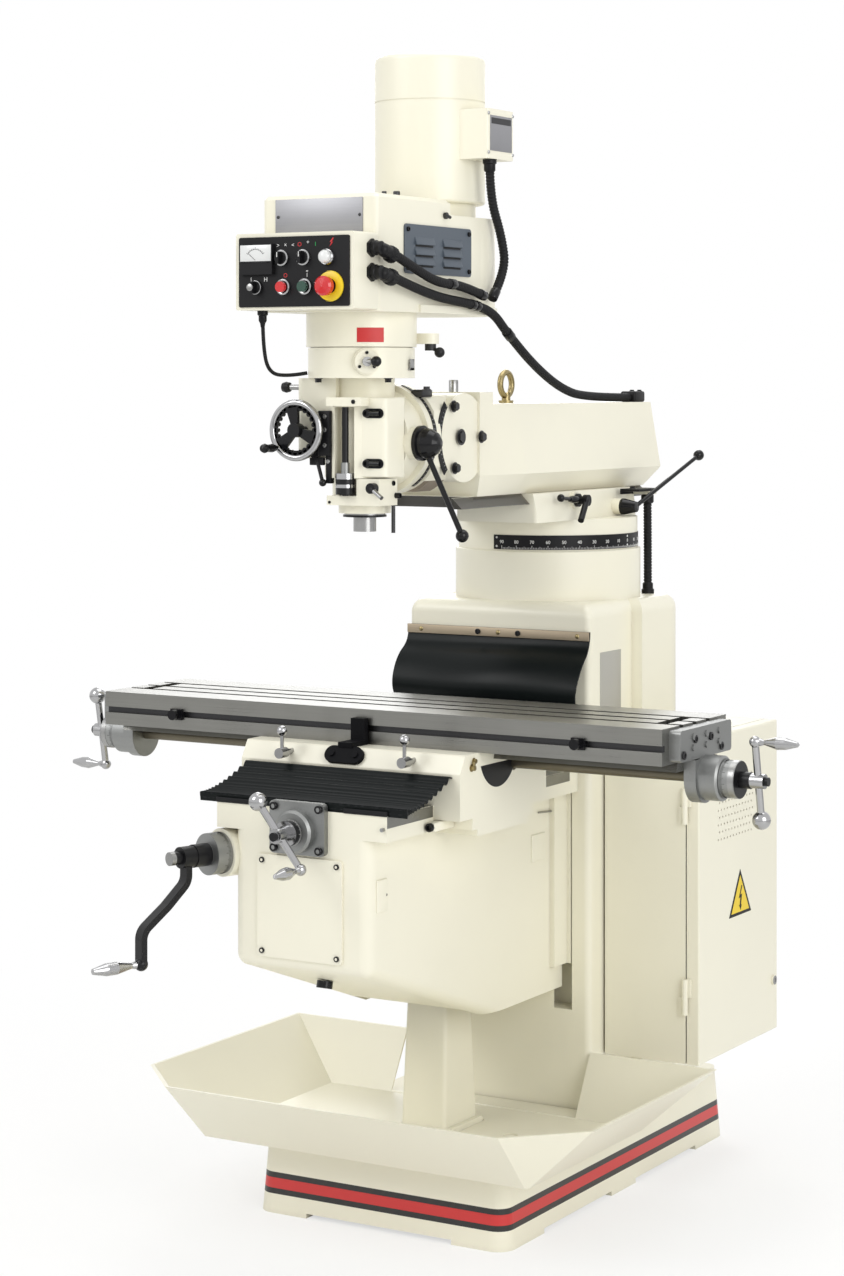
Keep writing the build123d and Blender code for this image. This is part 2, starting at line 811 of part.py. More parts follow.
# Cross screw with its dial and balanced crank
cross_hub_y = bracket_nose - cross_hub_reach
cross_back = knee_rear - cross_back_gap
with BuildPart() as cross_screw:
    add(rod((0, cross_back, cross_z), (0, bracket_nose, cross_z), cross_screw_r))
    add(rod((0, bracket_nose, cross_z), (0, cross_hub_y - crank_hub_r - 8, cross_z), crank_spindle_r))
    add(rod((0, bracket_nose - running_gap, cross_z), (0, bracket_nose - cross_dial, cross_z), cross_dial_r))
    add(rod((0, bracket_nose - cross_dial + 2, cross_z), (0, cross_hub_y + crank_hub_r, cross_z),
            crank_collar_r))
    add(ball_crank((0, cross_hub_y, cross_z), (0, -1, 0), cross_arm, 1))
save(cross_screw, "cross_screw")


# Elevating crank: straight shaft with a bevel pinion, dial, and a bent lever with a grip
with BuildPart() as elevating_crank:
    add(rod(crank_point(pinion_start), crank_point(crank_shaft_end), crank_shaft_r))
    add(Solid.make_cone(*crank_pinion, Plane(crank_point(pinion_start), z_dir=crank_dir)))
    dial_start = crank_boss_end + running_gap
    add(rod(crank_point(dial_start), crank_point(dial_start + crank_dial_length), crank_dial_r))
    add(rod(crank_point(dial_start), crank_point(dial_start + 2 * crank_dial_length), crank_dial_r * 0.55))
    lever_start = crank_shaft_end - crank_lever_back
    lever_path = [
        crank_point(lever_start), crank_point(lever_start) + Vector(0, 0, -50),
        crank_point(lever_start + 0.45 * crank_reach) + Vector(0, 0, -95),
        crank_point(lever_start + crank_reach) + Vector(0, 0, -140),
        crank_point(lever_start + crank_reach) + Vector(0, 0, -crank_drop)]
    with BuildLine() as lever_line:
        FilletPolyline(*lever_path, radius=32)
    with BuildSketch(Plane(lever_path[0], x_dir=crank_dir, z_dir=(0, 0, -1))):
        Rectangle(*crank_lever_size)
    sweep(path=lever_line.line)
    add(rod(crank_point(lever_start - crank_eye), crank_point(lever_start + crank_eye), crank_eye_r))
    grip_start = crank_point(lever_start + crank_reach) + Vector(0, 0, -crank_drop)
    with Locations(grip_start):
        Sphere(crank_ball)
    add(turned(axis_plane(grip_start, (crank_dir.X, crank_dir.Y, 0)), [
        (0, 0), (8, 0), (8, 14), (6, 24), (crank_grip_r, 60), (crank_grip_r, 84), (6, 116), (0, 119)]))
save(elevating_crank, "elevating_crank")

# Elevating screw with its bevel gear, hanging in the knee
lift_gear_z = crank_z - lift_gear_drop
with BuildPart() as elevating_screw:
    add(rod((0, pedestal_y, pedestal_bottom + 115), (0, pedestal_y, lift_gear_z - 26), lift_screw_r))
    with Locations((0, pedestal_y, lift_gear_z - 34)):
        Cone(46, 26, 16, align=standing)
save(elevating_screw, "elevating_screw")
bearing_top = lift_gear_z - 34 - running_gap
with BuildPart() as elevating_bearing:
    with Locations((0, pedestal_y, bearing_top)):
        Cylinder(44, 30, align=hanging)
        Box(2 * (knee_half - knee_wall), 40, 16, align=hanging)
        Cylinder(lift_screw_r + running_gap, 90, mode=Mode.SUBTRACT)

with BuildPart() as knee_body:
    add(knee_casting.part)
    add(knee_front_cover.part)
    add(elevating_bearing.part)
save(knee_body, "knee_casting")

# Saddle: a bed for the table with jaws around the knee's top slab
saddle_bottom = knee_top + slide_gap
jaw_inner = knee_slab_half + slide_gap
table_bottom = saddle_top
table_front = table_y - table_width / 2
table_top_z = table_bottom + table_height
way_top_half = table_way_half - table_way_depth * tan(radians(table_way_draft))
with BuildPart() as saddle_casting:
    extrude(polygon(Plane.YZ.offset(-saddle_half), [
        (saddle_front, saddle_bottom), (saddle_front, saddle_lip), (saddle_top_front, saddle_top),
        (saddle_rear, saddle_top), (saddle_rear, saddle_bottom)]), amount=2 * saddle_half)
    jaw_mid = (jaw_inner + saddle_half) / 2
    for side in (-1, 1):
        with Locations((side * jaw_mid, saddle_jaw_front, saddle_jaw)):
            Box(saddle_half - jaw_inner, saddle_jaw_rear - saddle_jaw_front, saddle_bottom - saddle_jaw + 1,
                align=behind_standing)
        with Locations((side * jaw_mid, saddle_front, saddle_bottom - saddle_skirt)):
            Box(saddle_half - jaw_inner, saddle_rear - saddle_front, saddle_skirt + 1, align=behind_standing)
        keeper = knee_slab_half - knee_half - free_gap
        with Locations((side * saddle_half, saddle_jaw_front + 20, knee_slab_bottom - slide_gap)):
            Box(saddle_half - jaw_inner + keeper, saddle_jaw_rear - saddle_jaw_front - 40, 16,
                align=(Align.MAX if side > 0 else Align.MIN, Align.MIN, Align.MAX))
    front_edges = saddle_casting.edges().filter_by(Axis.X)
    front_edges = front_edges.filter_by_position(Axis.Y, saddle_front - 1, saddle_top_front + 1)
    fillet(front_edges.sort_by(Axis.Z)[-2:], saddle_edge)
    extrude(polygon(Plane.YZ.offset(-saddle_half - 1), [
        (table_y - way_top_half, saddle_top + 1), (table_y - table_way_half, saddle_top - table_way_depth),
        (table_y + table_way_half, saddle_top - table_way_depth), (table_y + way_top_half, saddle_top + 1)]),
        amount=2 * saddle_half + 2, mode=Mode.SUBTRACT)
    with Locations((0, table_y, table_screw_z)):
        Cylinder(table_nut_r, 4 * saddle_half, rotation=(0, 90, 0), mode=Mode.SUBTRACT)
    for side in (-1, 1):
        with Locations((side * lock_spread, saddle_front + lock_inset_y, lock_z)):
            Cylinder(lock_lever_r + running_gap + 2, 80, rotation=(90, 0, 0), mode=Mode.SUBTRACT)
save(saddle_casting, "saddle_casting")

# Stop bracket on the saddle's front and the two table lock levers
stop_base_z = saddle_lip + (saddle_top - saddle_lip) / 2
slope_angle = atan2(saddle_top_front - saddle_front, saddle_top - saddle_lip)
slope_mid = Vector(stop_x, (saddle_front + saddle_top_front) / 2, stop_base_z)
slope_plane = Plane(slope_mid, x_dir=(1, 0, 0), z_dir=(0, -cos(slope_angle), sin(slope_angle)))
finger_back = table_front - free_gap
with BuildPart() as saddle_stop_bracket:
    with BuildSketch(slope_plane):
        SlotOverall(stop_base_length, saddle_top - saddle_lip)
    extrude(amount=stop_plate)
    with BuildSketch(slope_plane.offset(stop_plate)):
        with GridLocations(stop_base_length * 0.62, 1, 2, 1):
            Circle(stop_screw_head_r)
    extrude(amount=4)
    with Locations((stop_x, finger_back, saddle_top)):
        Box(stop_finger_width, stop_plate + 4, table_height * 0.75, align=before_standing)
        Box(stop_finger_width, finger_back - saddle_top_front + stop_plate + 4, stop_plate,
            align=before_standing)
    extrude(polygon(Plane.YZ.offset(stop_x - stop_base_length), [
        (saddle_front, saddle_bottom), (saddle_front, saddle_lip), (saddle_top_front, saddle_top),
        (saddle_rear, saddle_top), (saddle_rear, saddle_bottom)]),
        amount=2 * stop_base_length, mode=Mode.SUBTRACT)
save(saddle_stop_bracket, "saddle_stop_bracket")

lock_axis = Vector(0, -1, 0)
lock_names = ("table_lock_left", "table_lock_right")
for name, side in zip(lock_names, (-1, 1)):
    pivot = Vector(side * lock_spread, saddle_front + lock_inset_y, lock_z)
    with BuildPart() as table_lock:
        arm_start = pivot + lock_axis * lock_arm_y
        arm_end = arm_start + Vector(0, 0, lock_arm)
        add(rod(pivot + Vector(0, 20, 0), pivot + lock_axis * lock_reach, lock_lever_r + 2))
        add(rod(pivot + lock_axis * 40, pivot + lock_axis * (lock_reach + 4), lock_collar_r))
        add(rod(arm_start, arm_end, lock_lever_r))
        with Locations(arm_end):
            Sphere(lock_ball_r)
    save(table_lock, name)

# Cross screw nut hanging below the saddle
with BuildPart() as cross_nut:
    nut_y = (saddle_front + saddle_rear) / 2
    with Locations((0, nut_y, saddle_bottom)):
        Box(2 * (cross_slot_half - free_gap), 90, saddle_bottom - cross_z + 28, align=hanging)
    with Locations((0, nut_y, cross_z)):
        Cylinder(cross_screw_r + running_gap, 200, rotation=(90, 0, 0), mode=Mode.SUBTRACT)

# Table with T-slots, a stop slot along its front and a dovetail below
stop_slot_z = table_bottom + 0.46 * table_height
with BuildPart() as table_top:
    with Locations((0, table_y, table_bottom)):
        Box(table_length, table_width, table_height, align=standing)
    extrude(polygon(Plane.YZ.offset(-table_length / 2), [
        (table_y - way_top_half + slide_gap, table_bottom + 1),
        (table_y - table_way_half + 2 * slide_gap, table_bottom - table_way_depth + slide_gap),
        (table_y + table_way_half - 2 * slide_gap, table_bottom - table_way_depth + slide_gap),
        (table_y + way_top_half - slide_gap, table_bottom + 1)]), amount=table_length)
    slot_rows = [table_y + (i - (tslot_count - 1) / 2) * tslot_pitch for i in range(tslot_count)]
    for y in slot_rows:
        with Locations((0, y, table_top_z)):
            Box(2 * table_length, tslot_width, 2 * tslot_neck, mode=Mode.SUBTRACT)
        with Locations((0, y, table_top_z - tslot_neck)):
            Box(2 * table_length, tslot_foot_width, tslot_foot, align=hanging,
                mode=Mode.SUBTRACT)
    with Locations((0, table_front, stop_slot_z)):
        Box(2 * table_length, 2 * stop_slot_depth, stop_slot_width, mode=Mode.SUBTRACT)
    for side in (-1, 1):
        with Locations((side * (table_length / 2 - trough_length), table_y, table_top_z)):
            Box(26, tslot_pitch * (tslot_count - 1), 2 * trough_depth, mode=Mode.SUBTRACT)
    with Locations((0, table_y, table_screw_z)):
        Cylinder(table_screw_r + free_gap, 2 * table_length, rotation=(0, 90, 0), mode=Mode.SUBTRACT)
save(table_top, "table_top")

with BuildPart() as table_stops:
    for x in (table_stop_left, table_stop_right):
        with Locations((x, table_front, stop_slot_z)):
            Box(stop_width, stop_slot_depth - 1, stop_slot_width - 1, align=behind)
            Box(stop_width, 6, stop_plate_height, align=before)
            Cylinder(stop_knob_r, stop_knob, rotation=(90, 0, 0), align=standing)
save(table_stops, "table_stops")

# Table screw, end brackets, dials and balanced cranks
table_end = table_length / 2
bracket_out = table_end + end_bracket_thick
boss_out = bracket_out + end_bracket_boss
bracket_pair = []
for side in (-1, 1):
    with BuildPart() as end_bracket:
        with BuildSketch(Plane.YZ.offset(side * table_end)):
            with Locations((table_y, table_bottom + 0.5 * table_height)):
                RectangleRounded(table_width * 0.8, table_height * 0.86, 8)
            with Locations((table_y, table_screw_z)):
                Circle(end_bracket_boss_r + 6)
            with Locations((table_y, (table_screw_z + table_bottom) / 2)):
                Rectangle(2 * end_bracket_boss_r + 12, table_bottom - table_screw_z + 6)
        extrude(amount=side * end_bracket_thick)
        add(rod((side * (bracket_out - 1), table_y, table_screw_z), (side * boss_out, table_y, table_screw_z),
                end_bracket_boss_r))
        chamfer(end_bracket.edges().filter_by(GeomType.CIRCLE).sort_by(Axis.X)[-1 if side > 0 else 0], 4)
        with Locations((side * bracket_out, table_y, table_bottom + 0.55 * table_height)):
            with Locations(Rotation(0, 90 * side, 0)):
                with GridLocations(end_screw_rows, end_screw_columns, 2, 3):
                    Cylinder(end_screw_r, end_screw_head, align=standing)
        with Locations((0, table_y, table_screw_z)):
            Cylinder(table_screw_r + running_gap, 2 * boss_out + 10, rotation=(0, 90, 0), mode=Mode.SUBTRACT)
    bracket_pair.append(end_bracket.part)
with BuildPart() as end_brackets:
    add(bracket_pair)
save(end_brackets, "end_brackets")

left_out = left_hub_x - crank_hub_r - 8
right_out = right_hub_x + crank_hub_r + 8
with BuildPart() as table_screw:
    add(rod((-boss_out - 2, table_y, table_screw_z), (boss_out + 2, table_y, table_screw_z), table_screw_r))
    add(rod((left_out, table_y, table_screw_z), (right_out, table_y, table_screw_z), crank_spindle_r))
    for side, hub in ((-1, left_hub_x), (1, right_hub_x)):
        dial_x = side * (boss_out + running_gap)
        dial_end = dial_x + side * table_dial_length
        add(rod((dial_x, table_y, table_screw_z), (dial_end, table_y, table_screw_z), table_dial_r))
        hub_face = hub - side * crank_hub_r
        add(rod((dial_end, table_y, table_screw_z), (hub_face, table_y, table_screw_z), crank_collar_r))
save(table_screw, "table_screw")

crank_lean = radians(-11)
crank_pair = []
for side, hub in ((1, left_hub_x), (-1, right_hub_x)):
    way = -1 if hub < 0 else 1
    with BuildPart() as table_crank:
        arm_way = (0, side * sin(crank_lean), side * cos(crank_lean))
        add(ball_crank((hub, table_y, table_screw_z), (way, 0, 0), arm_way, 1))
        with Locations((hub, table_y, table_screw_z)):
            Cylinder(crank_spindle_r, 120, rotation=(0, 90, 0), mode=Mode.SUBTRACT)
    crank_pair.append(table_crank.part)
with BuildPart() as table_cranks:
    add(crank_pair)
save(table_cranks, "table_cranks")

with BuildPart() as table_nut:
    with Locations((0, table_y, table_screw_z)):
        Cylinder(table_nut_r, 120, rotation=(0, 90, 0))
        Cylinder(table_screw_r + running_gap, 300, rotation=(0, 90, 0), mode=Mode.SUBTRACT)

with BuildPart() as feed_nuts:
    add(cross_nut.part)
    add(table_nut.part)
save(feed_nuts, "feed_nuts")

# Pleated rubber cover in front of the saddle
pleats = 9
pleat_thick = 2.4
pleat_rise = 9
bellows_half = 250
bellows_back = saddle_front - running_gap
bellows_front = knee_front + 4
bellows_low = knee_top + 6
with BuildPart() as front_way_cover:
    with BuildSketch(Plane.YZ.offset(-bellows_half)):
        with BuildLine() as folds:
            fold_points = [(bellows_back, saddle_lip - 6)]
            for i in range(1, 2 * pleats + 1):
                t = i / (2 * pleats)
                y = bellows_back + (bellows_front - bellows_back) * (1 - (1 - t) ** 1.9)
                z = bellows_low + 4 + (saddle_lip - 10 - bellows_low) * (1 - t) ** 3.2
                fold_points.append((y, z + (pleat_rise if i % 2 else 0)))
            Polyline(*fold_points)
        trace(folds.edges(), line_width=pleat_thick)
    extrude(amount=2 * bellows_half)
save(front_way_cover, "front_way_cover")

# Turret: a round ring on the neck under a block with the ram's dovetail slot
turret_bottom = neck_top
turret_ring_top = turret_bottom + turret_ring
turret_top = ram_foot - slide_gap
turret_slot_z = turret_top - turret_slot_depth
with BuildPart() as turret_casting:
    extrude(polygon(Plane.XY.offset(turret_ring_top - 1), [
        (turret_cut_x, turret_front), (turret_half, turret_front), (turret_half, turret_rear),
        (-turret_half, turret_rear), (-turret_half, turret_cut_y)]), amount=turret_top - turret_ring_top + 1)
    fillet(turret_casting.edges().filter_by(Axis.Z), turret_corner)
    for side in (-1, 1):
        extrude(polygon(Plane.XZ.offset(-turret_rear - 1), [
            (side * turret_half, turret_ring_top), (side * (turret_half + 1), turret_ring_top),
            (side * (turret_half + 1), turret_top), (side * turret_top_half, turret_top)]),
            amount=turret_rear - turret_front + 2, mode=Mode.SUBTRACT)
    with Locations((0, neck_y, turret_bottom)):
        Cylinder(turret_r, turret_ring, align=standing)
        Cylinder(neck_bore_r - running_gap, turret_spigot, align=hanging)
        Cylinder(neck_bore_r - 50, 2 * turret_spigot + 40, mode=Mode.SUBTRACT)
    lever_bosses = ((pinion_y, pinion_z, turret_half + pinion_boss), (clamp_y, clamp_z, turret_half))
    for boss_y, boss_z, boss_x in lever_bosses:
        add(rod((turret_half - 2 * turret_pin, boss_y, boss_z), (boss_x, boss_y, boss_z), turret_boss_r))
    extrude(polygon(Plane.XZ.offset(-turret_rear - 1), [
        (-turret_slot_low, turret_slot_z), (turret_slot_low, turret_slot_z),
        (turret_slot_top, turret_top + 1), (-turret_slot_top, turret_top + 1)]),
        amount=turret_rear - turret_front + 2, mode=Mode.SUBTRACT)
    for boss_y, boss_z, boss_x in lever_bosses:
        add(rod((boss_x - turret_pin - running_gap, boss_y, boss_z), (boss_x + 1, boss_y, boss_z),
                turret_pin_r + running_gap), mode=Mode.SUBTRACT)
    with Locations((turret_top_half - 1, turret_rear, turret_top - 16)):
        Box(turret_shelf + turret_half - turret_top_half, 40, 8, align=(Align.MIN, Align.MAX, Align.MIN))
save(turret_casting, "turret_casting")

# Ram: a long hollow dovetail slide with a round end for the knuckle
with BuildPart() as ram_casting:
    ram_profile = [
        (-ram_top_half, ram_top), (-ram_shoulder_half, ram_shoulder), (-ram_foot_half, ram_foot),
        (ram_foot_half, ram_foot), (ram_shoulder_half, ram_shoulder), (ram_top_half, ram_top)]
    nose_profile = [
        (-ram_top_half, ram_top), (-ram_top_half, ram_shoulder), (-ram_foot_half, ram_foot),
        (ram_foot_half, ram_foot), (ram_top_half, ram_shoulder), (ram_top_half, ram_top)]
    ram_nose = nod_y + nod_r * 0.62
    extrude(polygon(Plane.XZ.offset(-ram_flare_y), ram_profile), amount=-(ram_rear - ram_flare_y))
    nose_face = polygon(Plane.XZ.offset(-ram_nose), nose_profile)
    loft([nose_face, polygon(Plane.XZ.offset(-ram_flare_y), ram_profile)], ruled=True)
    with Locations((0, ram_step_y, ram_shoulder)):
        Box(2 * ram_top_half, ram_step_y - ram_nose + 1, ram_block_top - ram_shoulder,
            align=before_standing)
    rail_low = turret_slot_low - 2 * slide_gap
    rail_top = turret_slot_top - 2 * slide_gap
    rail_z = turret_slot_z + slide_gap
    extrude(polygon(Plane.XZ.offset(-ram_rail_front), [
        (-rail_low, rail_z), (rail_low, rail_z), (rail_top, ram_foot + 1), (-rail_top, ram_foot + 1)]),
        amount=-(ram_rear - ram_bevel_back - ram_rail_front))
    for side in (-1, 1):
        extrude(polygon(Plane.XZ.offset(-ram_strip_front), [
            (side * (rail_low - ram_strip), rail_z), (side * rail_low, rail_z), (side * rail_top, ram_foot),
            (side * (rail_low - ram_strip), ram_foot)]), amount=-(ram_rail_front - ram_strip_front + 1))
    with Locations((0, ram_rear - 1, (ram_top + ram_shoulder) / 2 + 4)):
        Box(1.7 * ram_top_half, 15, 74, align=behind)
    with Locations((0, nod_y, nod_z)):
        Cylinder(nod_r, 2 * knuckle_half, rotation=(0, 90, 0))
    with Locations((0, nod_y, nod_z)):
        Box(2 * knuckle_half, ram_nose - nod_y + 2, 1.4 * nod_r, align=behind)
    split_back = ram_rear - ram_bevel_back
    extrude(polygon(Plane.YZ.offset(-ram_shoulder_half - 1), [
        (ram_rear + 1, ram_foot - 1), (split_back, ram_foot - 1),
        (ram_rear + 1, ram_foot + 1.6 * ram_bevel_back)]),
        amount=2 * ram_shoulder_half + 2, mode=Mode.SUBTRACT)
    cavity_half = ram_top_half - ram_wall
    with Locations((0, ram_step_y, ram_shoulder - 10)):
        Box(2 * cavity_half, ram_rear - ram_step_y - 2 * ram_wall, ram_top - ram_wall - ram_shoulder + 10,
            align=behind_standing, mode=Mode.SUBTRACT)
    with Locations((0, ram_rear, (ram_top + ram_shoulder) / 2)):
        Cylinder(32, 6 * ram_wall, rotation=(90, 0, 0), mode=Mode.SUBTRACT)
save(ram_casting, "ram_casting")

# Lifting eye
with BuildPart() as eye_bolt:
    with Locations((0, eye_y, ram_top)):
        Cylinder(eye_shank_r * 1.7, 6, align=standing)
        Cylinder(eye_shank_r, 24, align=standing)
    with Locations((0, eye_y, ram_top + 16 + eye_r)):
        Torus(eye_r, eye_wire_r, rotation=(0, 90, 60))
save(eye_bolt, "eye_bolt")

# Knuckle: nods on the ram's round end and carries the head on its round face
knuckle_back = nod_y - 30
with BuildPart() as ram_knuckle:
    with Locations((0, flange_y + knuckle_step, nod_z)):
        Box(2 * knuckle_half, knuckle_back - flange_y - knuckle_step, 2 * nod_r - 12,
            align=behind)
        Cylinder(knuckle_round, 2 * (knuckle_back - flange_y), rotation=(90, 0, 0), mode=Mode.INTERSECT)
    with Locations((0, flange_y, nod_z)):
        Cylinder(knuckle_r, head_flange, rotation=(-90, 0, 0), align=standing)
    with Locations((0, nod_y, nod_z)):
        Cylinder(nod_r + running_gap, 3 * knuckle_half, rotation=(0, 90, 0), mode=Mode.SUBTRACT)
save(ram_knuckle, "ram_knuckle")

# Head casting: quill housing with the feed case on its left
neck_low = brow_low + brow_height
with BuildPart() as head_casting:
    with Locations((0, flange_y, nod_z)):
        Cylinder(knuckle_r, head_flange, rotation=(90, 0, 0), align=standing)
        Cylinder(head_barrel_r, flange_y - spindle_y, rotation=(90, 0, 0), align=standing)
    with Locations((0, spindle_y, head_bottom)):
        Cylinder(lower_r, lower_height + 1, align=standing)
        Cylinder(collar_r, collar_drop, align=hanging)
    with Locations((0, spindle_y, head_bottom + lower_height)):
        Cylinder(quill_housing_r, neck_low - head_bottom - lower_height, align=standing)
    with Locations((0, spindle_y, neck_low - 1)):
        Cylinder(head_neck_r, head_top - neck_low + 1, align=standing)
    for left, height in ((foot_left, head_foot), (clamp_left, clamp_height)):
        with Locations(((left + foot_right) / 2, head_front, head_bottom)):
            Box(foot_right - left, spindle_y - head_front, height, align=behind_standing)
    with Locations(((brow_left + brow_right) / 2, brow_front, brow_low)):
        Box(brow_right - brow_left, spindle_y - brow_front, brow_height, align=behind_standing)
    with Locations((feed_case_left, feed_case_front, feed_case_bottom)):
        Box(feed_case_right - feed_case_left, feed_case_rear - feed_case_front, head_top - feed_case_bottom,
            align=(Align.MIN, Align.MIN, Align.MIN))
    feed_edges = head_casting.edges().filter_by(Axis.Z).sort_by(Axis.X)[:2]
    fillet(feed_edges, feed_case_round)
    with Locations((0, spindle_y - stop_slot_back, head_bottom + head_foot)):
        Box(2 * stop_slot_half, 60, stop_high - head_bottom - head_foot, align=before_standing,
            mode=Mode.SUBTRACT)
    add(rod((0, lever_y, lever_z), (lever_boss_x, lever_y, lever_z), lever_boss_r))
    lever_bore = lever_shaft_r + running_gap
    add(rod((lever_boss_x - 60, lever_y, lever_z), (lever_boss_x + 1, lever_y, lever_z), lever_bore),
        mode=Mode.SUBTRACT)
    add(rod((wheel_x, feed_case_front - 1, wheel_z), (wheel_x, feed_case_front + 50, wheel_z),
            wheel_shaft_r + running_gap), mode=Mode.SUBTRACT)
    add(rod((feed_case_left - 1, pull_y, pull_z), (feed_case_left + 40, pull_y, pull_z),
            pull_r + running_gap), mode=Mode.SUBTRACT)
    with Locations((0, spindle_y, nose_z)):
        Cylinder(quill_r + running_gap, head_top - nose_z + 1, align=standing,
                 mode=Mode.SUBTRACT)
save(head_casting, "head_casting")

# Gear housing in two rounds
selector_dir = Vector(selector_way, -sqrt(1 - selector_way ** 2), 0)


def selector_point(distance):
    return Vector(0, gear_y, selector_z) + selector_dir * distance


with BuildPart() as gear_housing:
    with Locations((0, gear_y, head_top)):
        Cylinder(gear_lower_r, gear_lower_top - head_top, align=standing)
        Cylinder(gear_lower_r - 5, belt_bottom - head_top, align=standing)
    with Locations((0, gear_y, gear_lower_top + 2)):
        Cylinder(gear_upper_r, belt_bottom - gear_lower_top - 2, align=standing)
    add(rod(selector_point(60), selector_point(selector_boss), selector_boss_r))
    with Locations((range_x, range_y, range_low)):
        Box(range_arm, 2 * range_boss_r, range_boss, align=(Align.MAX, Align.CENTER, Align.MIN))
        Cylinder(range_boss_r, range_boss, align=standing)
    with Locations((0, spindle_y, head_top)):
        Cylinder(quill_r, 2 * (belt_bottom - head_top), mode=Mode.SUBTRACT)
save(gear_housing, "gear_housing")

# Belt housing: a hollow cover from the control box back round the motor


def belt_outline(height, grow):
    with BuildSketch(Plane.XY.offset(height)) as outline:
        with Locations((0, motor_y)):
            Circle(belt_rear_r + grow)
            Rectangle(2 * (belt_half + grow), motor_y - belt_front + grow, align=(Align.CENTER, Align.MAX))
    return outline.sketch


with BuildPart() as belt_housing:
    extrude(belt_outline(belt_bottom, 0), amount=belt_shelf - belt_bottom)
    with Locations((0, belt_front, belt_shelf - 1)):
        Box(2 * belt_half, belt_step_y - belt_front, belt_top - belt_shelf + 1, align=behind_standing)
    fillet(belt_housing.edges().filter_by(Axis.Z).group_by(Axis.Y)[0], 12)
    chamfer(belt_housing.faces().sort_by(Axis.Z)[-1].edges(), belt_edge)
    with BuildSketch(Plane.XY.offset(belt_bottom)):
        with Locations((0, motor_y)):
            Circle(belt_rear_r + 5)
            Rectangle(2 * belt_half + 10, motor_y - gear_y, align=(Align.CENTER, Align.MAX))
    extrude(amount=belt_flange)
    extrude(belt_outline(belt_bottom + belt_wall, -belt_wall), amount=belt_shelf - belt_bottom - 2 * belt_wall,
            mode=Mode.SUBTRACT)
    with Locations((0, spindle_y, belt_bottom)):
        Cylinder(quill_r, 4 * belt_wall, mode=Mode.SUBTRACT)
    with Locations((0, motor_y, belt_shelf)):
        Cylinder(motor_neck_r - 2 * belt_wall, 4 * belt_wall, mode=Mode.SUBTRACT)
save(belt_housing, "belt_housing")

# Control box and its front panel
control_depth = belt_front - control_front
with BuildPart() as control_box:
    with Locations((0, control_front, control_bottom)):
        Box(2 * control_half, control_depth, control_top - control_bottom, align=behind_standing)
    fillet(control_box.edges().filter_by(Axis.Y), 5)
    with Locations((0, control_front + control_sheet, control_bottom + control_sheet)):
        Box(2 * (control_half - control_sheet), control_depth - 2 * control_sheet,
            control_top - control_bottom - 2 * control_sheet, align=behind_standing,
            mode=Mode.SUBTRACT)
    with Locations((0, control_front - 1, panel_low + 10)):
        Box(2 * panel_half - 20, 2 * control_sheet, panel_high - panel_low - 20,
            align=behind_standing, mode=Mode.SUBTRACT)
save(control_box, "control_box")

panel_face = control_front - panel_thick
control_places = {
    "voltage_selector": (-27, upper_row, button_hole_r),
    "power_selector": (25, upper_row, button_hole_r),
    "range_selector": (-90, lower_row, button_hole_r),
    "stop_button": (-23, lower_row, button_hole_r),
    "start_button": (29, lower_row, button_hole_r),
    "emergency_stop": (86, lower_row, emergency_hole_r)}
with BuildPart() as control_panel:
    with Locations((0, control_front, (panel_low + panel_high) / 2)):
        Box(2 * panel_half, panel_thick, panel_high - panel_low, align=before)
    fillet(control_panel.edges().filter_by(Axis.Y), 4)
    for name, (x, z, hole_r) in control_places.items():
        ring_r = emergency_ring_r if name == "emergency_stop" else hole_r + ring_wall
        add(rod((x, control_front, z), (x, panel_face - ring_rise, z), ring_r))
    for x, z, hole_r in control_places.values():
        with Locations((x, control_front, z)):
            Cylinder(hole_r, 40, rotation=(90, 0, 0), mode=Mode.SUBTRACT)
    with Locations((meter_x, panel_face, upper_row - 2)):
        Box(*meter_size, align=before)
    add(rod((lamp_x, control_front, upper_row), (lamp_x, panel_face - lamp_ring, upper_row), lamp_r + 2))
    with Locations((lamp_x, panel_face - lamp_ring, upper_row)):
        Sphere(lamp_r)
save(control_panel, "control_panel")

# Motor
with BuildPart() as motor_housing:
    with Locations((0, motor_y, belt_shelf)):
        Cylinder(motor_neck_r, motor_bottom - belt_shelf + 1, align=standing)
    with Locations((0, motor_y, motor_bottom)):
        Cylinder(motor_r, motor_top - motor_bottom, align=standing)
    fillet(motor_housing.faces().sort_by(Axis.Z)[-1].edges(), motor_round)
    lip_edges = motor_housing.edges().filter_by(GeomType.CIRCLE)
    lip_edges = lip_edges.filter_by_position(Axis.Z, motor_bottom - 0.1, motor_bottom + 0.1)
    fillet(lip_edges.sort_by(SortBy.RADIUS)[-1], motor_lip)
    with Locations((0, motor_y, motor_seam)):
        Cylinder(motor_r + 2, 3, mode=Mode.SUBTRACT)
        Cylinder(motor_r - 1.5, 4)
    with Locations((0, motor_y, motor_bottom + 20)):
        Cylinder(rotor_r + free_gap, motor_top - motor_bottom - 50, align=standing, mode=Mode.SUBTRACT)
    with Locations((0, motor_y, motor_bottom)):
        Cylinder(shaft_r + running_gap, 80, mode=Mode.SUBTRACT)
with BuildPart() as terminal_box:
    with Locations((terminal_out, terminal_front, terminal_low)):
        Box(terminal_out - 60, terminal_rear - terminal_front, terminal_high - terminal_low,
            align=(Align.MAX, Align.MIN, Align.MIN))
    with Locations((0, motor_y, motor_bottom)):
        Cylinder(motor_r - 3, 2 * motor_top, mode=Mode.SUBTRACT)
    fillet(terminal_box.edges().filter_by(Axis.Z).sort_by(Axis.X)[-2:], 6)
with BuildPart() as motor_body:
    add(motor_housing.part)
    add(terminal_box.part)
save(motor_body, "motor_housing")

